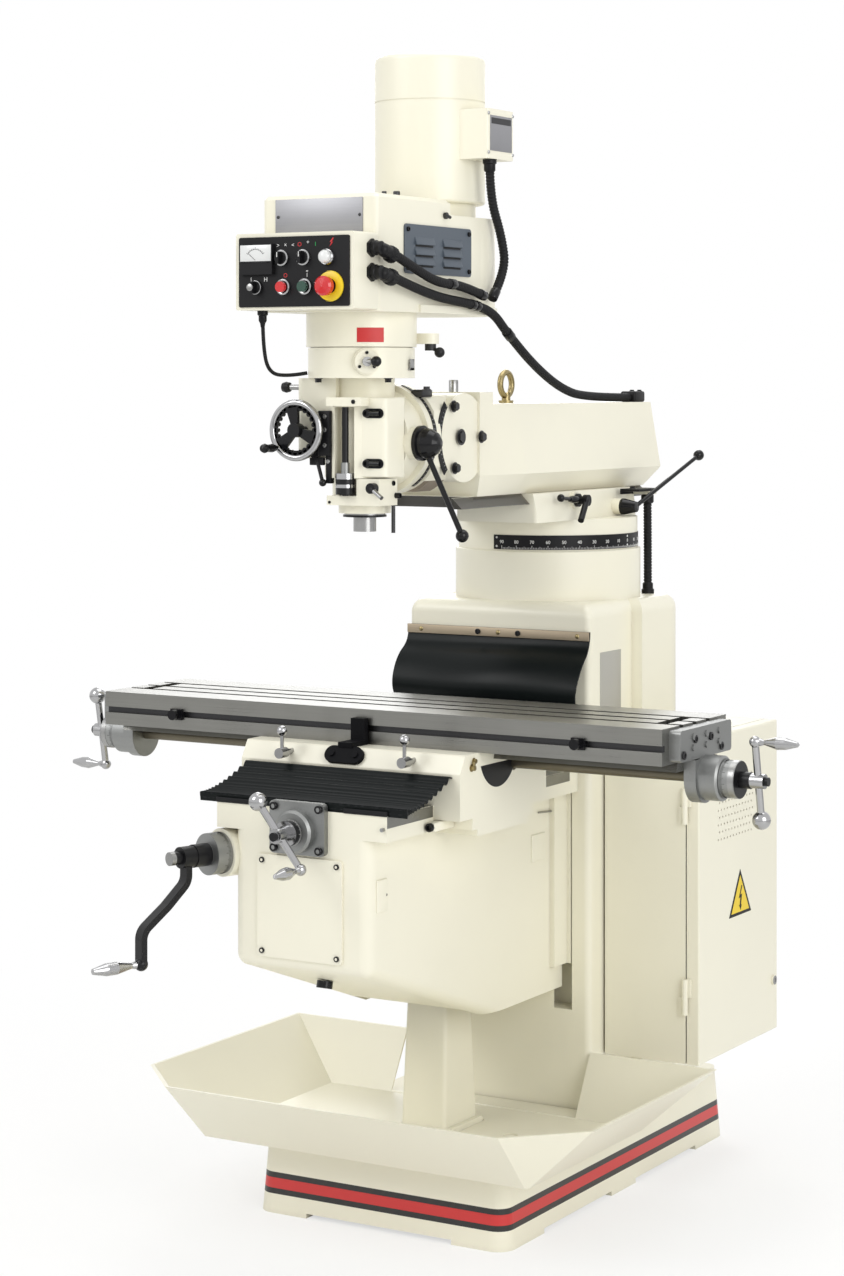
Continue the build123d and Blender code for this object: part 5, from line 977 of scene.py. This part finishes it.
def makeNodScale(centre, inner, outer, half, ticks):
    makePiece("nodScale", "knuckle", "blackPlastic", "black_plastic", (
        arcStrip, centre, right, front, inner, 1.6, outer - inner, -half, half, 40))
    bars = [(-step, *[(reach, 0.7) for reach in ticks]) for step in range(-half + 3, half, 5)]
    makePiece("nodTicks", "knuckle", "markWhite", "ivory_paint",
              (barsRound, centre, right, front, bars, 0.32, 5))


ramPlan = {"side": 118.0, "clampRod": 159, "bracketTop": 1549,
           "bolts": [(-427, 1748, 9.5, 10), (-395, 1682, 13, 5), (-307, 1681, 10, 9), (-422, 1616, 9.5, 10)]}


def makeRamFittings(side, clampRod, bracketTop, bolts):
    makePiece("ramSideBolts", "ram", "darkSteel", "black_steel", *[
        (hexBolt, (side, y, z), right, radius, height) for y, z, radius, height in bolts])
    makePiece("ramPin", "ram", "turnedSteel", "black_steel", (
        turnedForm, (26, -268, 1777), up, [(0, 0), (10.5, 0), (10.5, 26), (9.5, 27.5), (0, 27.5)], 32))
    makePiece("clampBallRod", "ram_clamp", "blackGloss", "black_plastic",
              (roundBar, (clampRod, 70, 1532), (clampRod, -8, 1538), 4.5, 16),
              (turnedForm, (clampRod, 62, 1532.5), (0, -1, 0.06),
               [(0, 0), (8, 0), (8, 22), (6, 25), (6, 34), (0, 34)], 20),
              (ballForm, (clampRod, -14, 1538.5), 9))
    makePiece("conduitBracket", "turret", "blackPlastic", "black_steel",
              (blockForm, (150, 300, bracketTop - 6), (200, 404, bracketTop), 1.5),
              (blockForm, (150, 300, bracketTop - 13), (156, 360, bracketTop - 3), 1.0),
              (hexBolt, (168, 330, bracketTop - 0.5), up, 6, 5),
              (turnedForm, (183, 380, 1512), up,
               [(10.2, 0), (13, 2), (15, 4), (15, 20), (12, 22), (12, 37), (10, 37)], 28))
    makePiece("ramRunner", "ram", "ivoryCasting", "ivory_paint", (
        blockForm, (-126.2, -405.3, 1525.2), (-99.8, -331, 1550.9)))
    print("upper fittings made")


makeDegreeBand(**bandPlan)
makeTiltScale(**tiltPlan)
makeNodScale(**nodPlan)
makeRamFittings(**ramPlan)

# head fittings

headPlan = {"face": -672.0, "slots": [(43, 92, 1735), (43, 92, 1631)], "slotRadius": 10.0, "corner": 12.0,
            "pad": ((26, -671.6, 1604), (98, -600, 1766)),
            "screws": [(-44, -12, 1728), (-44, -12, 1700), (-44, -12, 1668), (-40, -5, 1634)]}
solePlan = {"near": -479.5, "far": -416.0, "centre": 1680, "radius": 125.6, "low": 1566, "high": 1590.5}
wheelPlan = {"inner": 47.0, "outer": 52.2, "deep": 8.0, "bumps": 24, "bumpRadius": 5.2,
             "spokes": (20, 140, 260), "reach": (12.0, 48.0), "wide": 16.8, "flare": 1.75, "thick": 8.6}


def makeHeadFittings(face, slots, slotRadius, corner, pad, screws):
    bm = bmesh.new()
    blockForm(bm, *pad)
    upright = [e for e in bm.edges if min(v.co.x for v in e.verts) > 0.09
               and max(v.co.y for v in e.verts) < -0.66]
    bevelEdges(bm, upright, corner, 5)
    finishPiece("headPad", bm, "head", "ivoryCasting")
    makePiece("tiltBoltSlots", "head", "blackPlastic", "black_plastic", *[
        (capsule, (first + 10, face, z), (last - 10, face, z), slotRadius, 1.0, front)
        for first, last, z in slots])
    makePiece("tiltBolts", "head", "blackGloss", "black_steel",
              *[(capScrew, (first + 11, face - 1, z), front, 8.5, 9) for first, last, z in slots],
              *[(roundBar, (first + 14, face - 5, z), (last - 8, face - 3, z), 5, 18)
                for first, last, z in slots])
    makePiece("feedBracket", "head", "blackPlastic", "black_steel",
              (blockForm, (-62, face - 12, 1646), (-33, face + 8, 1740), 2),
              (blockForm, (-47, face - 5, 1588), (-33, face + 8, 1650), 2),
              (blockForm, (-84, face - 10, 1626), (-50, face, 1642), 2))
    makePiece("feedBracketScrews", "head", "turnedSteel", "black_steel", *[
        (capScrew, (x, face + y, z), front, 4.5, 3) for x, y, z in screws])
    makePiece("tripRod", "head", "darkSteel", "black_steel",
              (roundBar, (75, -605, 1485), (75, -605, 1546), 4.2, 16))
    makePiece("headScrews", "head", "blackGloss", "black_steel", (capScrew, (79, -614, 1589), right, 5.5, 4),
              (capScrew, (79, -604, 1563), right, 6, 13), (capScrew, (-40, face, 1549), front, 3, 2),
              *[(hexBolt, (x, y, 1808), (0, 0, -1), 7, 9) for x, y in ((-59, -686), (92, -654))],
              (capScrew, (37, -702, 1759), front, 4.5, 2))
    makePiece("gearLatch", "head", "turnedSteel", "black_steel",
              (blockForm, (110, -608, 1824), (119, -592, 1830), 1),
              (blockForm, (116, -608, 1824), (119, -592, 1848), 1))


# an arc below the knuckle's round, coloured brown-grey for the down-facing flank in shade: painted shade
def makeSole(near, far, centre, radius, low, high):
    bm = bmesh.new()
    roundBar(bm, (0, near, centre), (0, far, centre), radius, 96)
    for height, normal in ((low, (0, 0, -1)), (high, up)):
        bmesh.ops.holes_fill(bm, edges=cutAbove(bm, height, normal), sides=0)
    finishPiece("knuckleSole", bm, "knuckle", "soleShadeBrown")


def makeWheelGrip(inner, outer, deep, bumps, bumpRadius, spokes, reach, wide, flare, thick):
    # finger grip inside the rim and flared spokes
    centre, half = Vector(wheelPlace), deep / 2
    bm = bmesh.new()
    turnedForm(bm, centre, front,
               [(inner, -half), (outer, -half), (outer, half), (inner, half), (inner, -half)], 72)
    grips = [(360 * step / bumps, (inner, half), (inner, -half)) for step in range(bumps)]
    barsRound(bm, centre, front, right, grips, bumpRadius, 14)
    for spoke in spokes:
        made = blockForm(bm, (reach[0], -thick / 2, -wide / 2), (reach[1], thick / 2, wide / 2))
        for vert in made:
            if vert.co.x > sum(reach) / 2000:
                vert.co.z *= flare
        turn = Matrix.Translation(centre / 1000) @ Matrix.Rotation(radians(spoke), 4, "Y")
        bmesh.ops.transform(bm, matrix=turn, verts=made)
    finishPiece("wheelGrip", bm, "handwheel", "blackGloss")
    print("head fittings made")


makeHeadFittings(**headPlan)
makeSole(**solePlan)
makeWheelGrip(**wheelPlan)

# lower machine: plates, screws, ground ways and signs

doorPlan = {
    "face": 473.0, "middle": 266, "low": 585, "half": 61, "tall": 104, "inner": 0.80, "shrink": 0.8,
    "raise": 6, "lock": (451, 402), "back": (466.5, 469.8), "vents": (134, 350, 752, 918),
    "bolt": [(7, 76), (-11, 40), (0, 42), (-5, 20), (-10, 22), (1, 5), (9, 21), (4, 19), (11, 51), (0, 49),
             (13, 74)]}


def makeDoor():
    plan = doorPlan
    face, inner, shrink, centre = plan["face"], plan["inner"], plan["shrink"], plan["tall"] / 3
    corners = [(-plan["half"], 0), (plan["half"], 0), (0, plan["tall"])]
    inside = [(x * inner, centre + (y - centre) * inner) for x, y in corners]
    bolt = [(x * shrink, y * shrink + plan["raise"]) for x, y in plan["bolt"]]
    layers = [("hazardBorder", corners, 0.2, "blackPlastic"), ("hazardFace", inside, 0.5, "signalYellow"),
              ("hazardBolt", bolt, 0.8, "blackPlastic")]
    for name, outline, lift, finish in layers:
        makePiece(name, "door", finish, "ivory_paint", (
            flatShape, outline, (face + lift, plan["middle"], plan["low"]), (0, 1, 0)))
    y, z = plan["lock"]
    makePiece("doorLock", "door", "turnedSteel", "black_steel", (
        turnedForm, (face + 6, y, z), right, [(0, 1.0), (8, 1.0), (10.4, 0.6), (10.8, -1.2)], 32))
    near, far, low, high = plan["vents"]
    makePiece("doorBlacks", "door", "blackPlastic", "black_plastic",
              (blockForm, (face + 6.6, y - 0.9, z - 5), (face + 7.3, y + 0.9, z + 5)),
              (blockForm, (plan["back"][0], near, low), (plan["back"][1], far, high)))


kneePlan = {
    "face": -845.0, "bracket": -859.0, "cover": -850.0, "side": 165.0, "way": 205.0, "top": 934,
    "wayRuns": [(-844, -664), (-352, -60)], "pads": [(-821, -781, 734, 800), (-168, -105, 741, 800)],
    "wipers": [(104, 206), (-206, -96)]}


def makeKneeDetails(face, bracket, cover, side, way, top, wayRuns, pads, wipers):
    makePiece("kneeScrews", "knee", "blackGloss", "black_steel",
              *[(capScrew, (x, bracket, z), front, 8.5, 7) for x in (-54, 54) for z in (855, 939)],
              *[(capScrew, (x, cover, z), front, 5.8, 3.6) for x in (-90, 90) for z in (640, 825)],
              (capScrew, (side, -786, 767), right, 2.6, 4.4),
              (roundBar, (-33, -700, 556), (-33, -704, 541), 17, 28))
    makePiece("kneeWays", "knee", "groundSteel", "black_steel",
              *[(blockForm, (way - 1, near, 910), (way + 0.25, far, top - 0.4)) for near, far in wayRuns],
              (blockForm, (1 - way, face + 1, top - 1), (way - 1, -664, top + 0.2)))
    makePiece("kneePads", "knee", "ivoryCasting", "ivory_paint", *[
        (blockForm, (side - 2, near, low), (side + 4, far, high), 2.4, 3) for near, far, low, high in pads])
    makePiece("kneeWiper", "knee", "blackRubber", "black_rubber", *[
        (blockForm, (first, face - 2.5, top), (last, face + 2, top + 10), 0.6) for first, last in wipers])
    makePiece("kneePins", "knee", "turnedSteel", "black_steel",
              (roundBar, (197, face + 4, 908), (197, face - 8, 908), 4, 18),
              (roundBar, (side + 4, 20, 835), (side + 4, -139, 847), 2.2, 10))
    makePiece("kneeBrass", "knee", "oldBrass", "brass", (hexBolt, (side, 20, 835), right, 6.5, 12),
              (roundBar, (side + 7, 20, 835), (side + 7, 8, 836), 4.5, 6))


saddlePlan = {"side": 268.0, "recess": (-502, 1037, 80), "cut": 1008.0,
              "gib": (206, 226, -692, -609, 884, 903)}


def makeSaddleDetails(side, recess, cut, gib):
    y, z, radius = recess
    # black half-discs on the saddle's side faces stand for the shaded hollow round the table screw: painted
    # shade
    bm = bmesh.new()
    for hand in (-1, 1):
        roundBar(bm, (hand * (side - 1), y, z), (hand * (side + 0.3), y, z), radius, 64)
    cutAbove(bm, cut, up)
    finishPiece("saddleHollowShade", bm, "saddle", "blackPlastic")
    makePiece("saddleBrass", "saddle", "oldBrass", "brass", (hexBolt, (side, -615, 1009), right, 6, 9),
              (roundBar, (side + 6, -615, 1009), (side + 6, -615, 1022), 3.6, 6),
              (hexBolt, (side, -606, 1022), right, 5, 7))
    first, last, near, far, low, high = gib
    makePiece("gibBoss", "saddle", "ivoryCasting", "ivory_paint",
              (blockForm, (first, near, low), (last, far, high), 3, 3))
    makePiece("gibScrew", "saddle", "blackGloss", "black_steel", (
        capScrew, ((first + last) / 2, near, (low + high) / 2), front, 9, 9))
    print("knee and saddle details made")


makeDoor()
makeKneeDetails(**kneePlan)
makeSaddleDetails(**saddlePlan)
makePiece("columnPlate", "column", "plateGrey", "cast_aluminium", (
    blockForm, (234.6, 30, 1055), (236.0, 134, 1190), 0.4))

# marks and fittings on the upper machine and the table

labelPlan = {"axis": (0, -610), "radius": 116.3, "low": 1882, "high": 1912, "first": -63, "last": -35}
selectorPlan = {"reach": 125, "circle": 18.5, "turns": (90, 215, 325)}
basePlan = {"row": (-489, 2184), "screws": [(-18, 5.5, 24), (13, 7.5, 23), (27, 4, 13)]}


def makeHeadLabels(axis, radius, low, high, first, last):
    makePiece("plainLabel", "head", "labelRed", "ivory_paint", (
        arcStrip, (*axis, (low + high) / 2), up, right, radius, high - low, 0.4, first, last, 24))
    way = Vector(selectorLine["way"])
    foot = Vector(selectorLine["origin"]) + way * selectorPlan["reach"]
    spots = [Vector(up).cross(way) * cos(radians(turn)) + Vector(up) * sin(radians(turn))
             for turn in selectorPlan["turns"]]
    makePiece("selectorScrews", "feed_selector", "blackGloss", "black_steel", *[
        (capScrew, foot + spot * selectorPlan["circle"], way, 3.4, 2.6) for spot in spots])
    makePiece("motorBaseScrews", "head", "darkSteel", "black_steel",
              *[(capScrew, (x, *basePlan["row"]), up, radius, height)
                for x, radius, height in basePlan["screws"]],
              (roundBar, (139, -504, 2150), (147, -504, 2150), 7, 6),
              (roundBar, (145, -512, 2153), (145, -489, 2147), 3.5, 10))


boxPlan = {"side": 177.0, "near": -374, "far": -278, "low": 2296, "high": 2372}


def makeMotorPlate(side, near, far, low, high):
    makePiece("motorPlate", "head", "brushedPlate", "cast_aluminium", (
        blockForm, (side - 0.5, near, low), (side + 0.9, far, high), 0.3))
    makePiece("motorPlateBand", "head", "darkSteel", "black_steel", (
        blockForm, (side, near + 5, high - 18), (side + 1.2, far - 5, high - 5)))
    makePiece("boxScrews", "head", "turnedSteel", "black_steel", *[
        (turnedForm, (side, y, z), right, [(0, 2.2), (2.6, 1.8), (4.2, 0)], 16)
        for y in (near - 5, far + 5) for z in (low - 4, high + 4)])


dialPlan = {"line": (-434, 1000), "start": 757, "grip": 774, "lift": 590, "cross": (0, -881, 891)}


def dialMarks(name, origin, way, radius, span, body, count, finish="blackPlastic"):
    # graduation lines round a dial, longer at every fifth and tenth
    way = Vector(way).normalized()
    marks = []
    for step in range(count):
        long = span if step % 10 == 0 else span * 0.72 if step % 5 == 0 else span * 0.5
        marks.append((360 * step / count, (radius, 0), (radius, long)))
    makePiece(name, body, finish, "black_plastic", (barsRound, origin, way, way.orthogonal(), marks, 0.32, 4))


def makeDials(line, start, grip, lift, cross):
    for side, name in ((1, "tableDialRight"), (-1, "tableDialLeft")):
        dialMarks(name, (side * start, *line), (side, 0, 0), 38.05, 11, "table_drive", 100)
    way = Vector(crankLine["way"])
    dialMarks("liftDial", Vector(crankLine["origin"]) + way * lift, way, 43.05, 12, "lift_crank", 100)
    dialMarks("crossDial", cross, front, 26.05, 9, "cross_feed", 80, "markWhite")
    makePiece("dialGrips", "table_drive", "turnedSteel", "black_steel", *[
        (turnedForm, (side * grip, *line), (side, 0, 0),
         [(37.8, 0), (38.6, 0.4), (38.6, 12), (37.8, 12.4)], 72) for side in (-1, 1)])


tablePlan = {"half": 685.6, "end": 712, "screws": [(-487, 1083), (-413, 1081), (-362, 1056), (-541, 1056)]}


def makeTableDetails(half, end, screws):
    # a dark steel strip along the table's front groove stands for the shade inside it: painted shade
    makePiece("grooveShade", "table", "darkSteel", "black_steel", (
        blockForm, (-half, -576, 1064.6), (half, -574.6, 1077)))
    makePiece("endScrews", "table", "darkSteel", "black_steel", *[
        (capScrew, (side * end, y, z), (side, 0, 0), 8.5, 3.5) for side in (-1, 1) for y, z in screws])


makeHeadLabels(**labelPlan)
makeMotorPlate(**boxPlan)
makeDials(**dialPlan)
makeTableDetails(**tablePlan)
print("marks made")

# studio: pale floor, soft light and the photograph's camera

floorPlan = {"half": 14.0, "tone": (0.95, 0.95, 0.94, 1), "fade": (1.0, 2.6, 0.62, 1.0)}
lampPlan = [("keyLamp", (-2.6, -4.6, 4.6), 112.0, 2.8), ("fillLamp", (4.6, -2.6, 2.6), 114.0, 3.2),
            ("topLamp", (0.2, 0.4, 5.2), 66.0, 3.2), ("rearLamp", (-2.2, 3.4, 3.4), 60.0, 2.5)]
viewPlan = {"place": (3.105, -5.617, 1.798), "yaw": 30.57, "focal": 2806.1, "tall": 1276, "horizon": 382.9,
            "sensor": 24.0}
lampTarget = Vector((0, -0.3, 1.1))


def makeFloor(half, tone, fade):
    bm = bmesh.new()
    bmesh.ops.create_grid(bm, x_segments=2, y_segments=2, size=half)
    mesh = bpy.data.meshes.new("studioFloor")
    bm.to_mesh(mesh)
    bm.free()
    ground = bpy.data.objects.new("studioFloor", mesh)
    bpy.context.scene.collection.objects.link(ground)
    tree, shader, place = startFinish("floorTone")
    feed(tree, shader, {"Base Color": tone, "Roughness": 0.9})
    glow = addNode(tree, "Emission", {"Color": (1, 1, 1, 1), "Strength": 1.0})[0]
    far = rampNode(tree, vectorNode(tree, "LENGTH", place)["Value"], *fade, interpolation_type="SMOOTHSTEP")
    share = mathNode(tree, "MULTIPLY", addNode(tree, "LightPath", {})["Is Camera Ray"], far)
    blend = addNode(tree, "MixShader", {0: share, 1: shader.outputs[0], 2: glow})[0]
    feed(tree, tree.nodes["Material Output"], {"Surface": blend})
    mesh.materials.append(finishes["floorTone"])


def makeLight():
    world = bpy.data.worlds.new("studioWorld")
    bpy.context.scene.world = world
    world.use_nodes = True
    tree = world.node_tree
    path = addNode(tree, "LightPath", {})
    seen = mathNode(tree, "MAXIMUM", path["Is Glossy Ray"], path["Is Transmission Ray"])
    seen = mathNode(tree, "MAXIMUM", path["Is Camera Ray"], seen)
    feed(tree, tree.nodes["Background"],
         {"Strength": rampNode(tree, seen, 0.0, 1.0, 0.5, 1.0), "Color": (1, 1, 1, 1)})
    for name, spot, power, size in lampPlan:
        light = bpy.data.lights.new(name, "AREA")
        light.energy = power
        light.size = size
        lamp = bpy.data.objects.new(name, light)
        lamp.location = spot
        lamp.rotation_euler = (lampTarget - Vector(spot)).to_track_quat("-Z", "Y").to_euler()
        bpy.context.scene.collection.objects.link(lamp)


def makeCamera(place, yaw, focal, tall, horizon, sensor):
    lens = bpy.data.cameras.new("photoCamera")
    lens.sensor_fit = "VERTICAL"
    lens.sensor_height = sensor
    lens.lens = focal * sensor / tall
    lens.shift_y = -(tall / 2 - horizon) / tall
    camera = bpy.data.objects.new("photoCamera", lens)
    camera.location = place
    camera.rotation_euler = (radians(90), 0, radians(yaw))
    bpy.context.scene.collection.objects.link(camera)
    bpy.context.scene.camera = camera
    bpy.context.scene.view_settings.view_transform = "Standard"


makeFloor(**floorPlan)
makeLight()
makeCamera(**viewPlan)
print("studio ready")
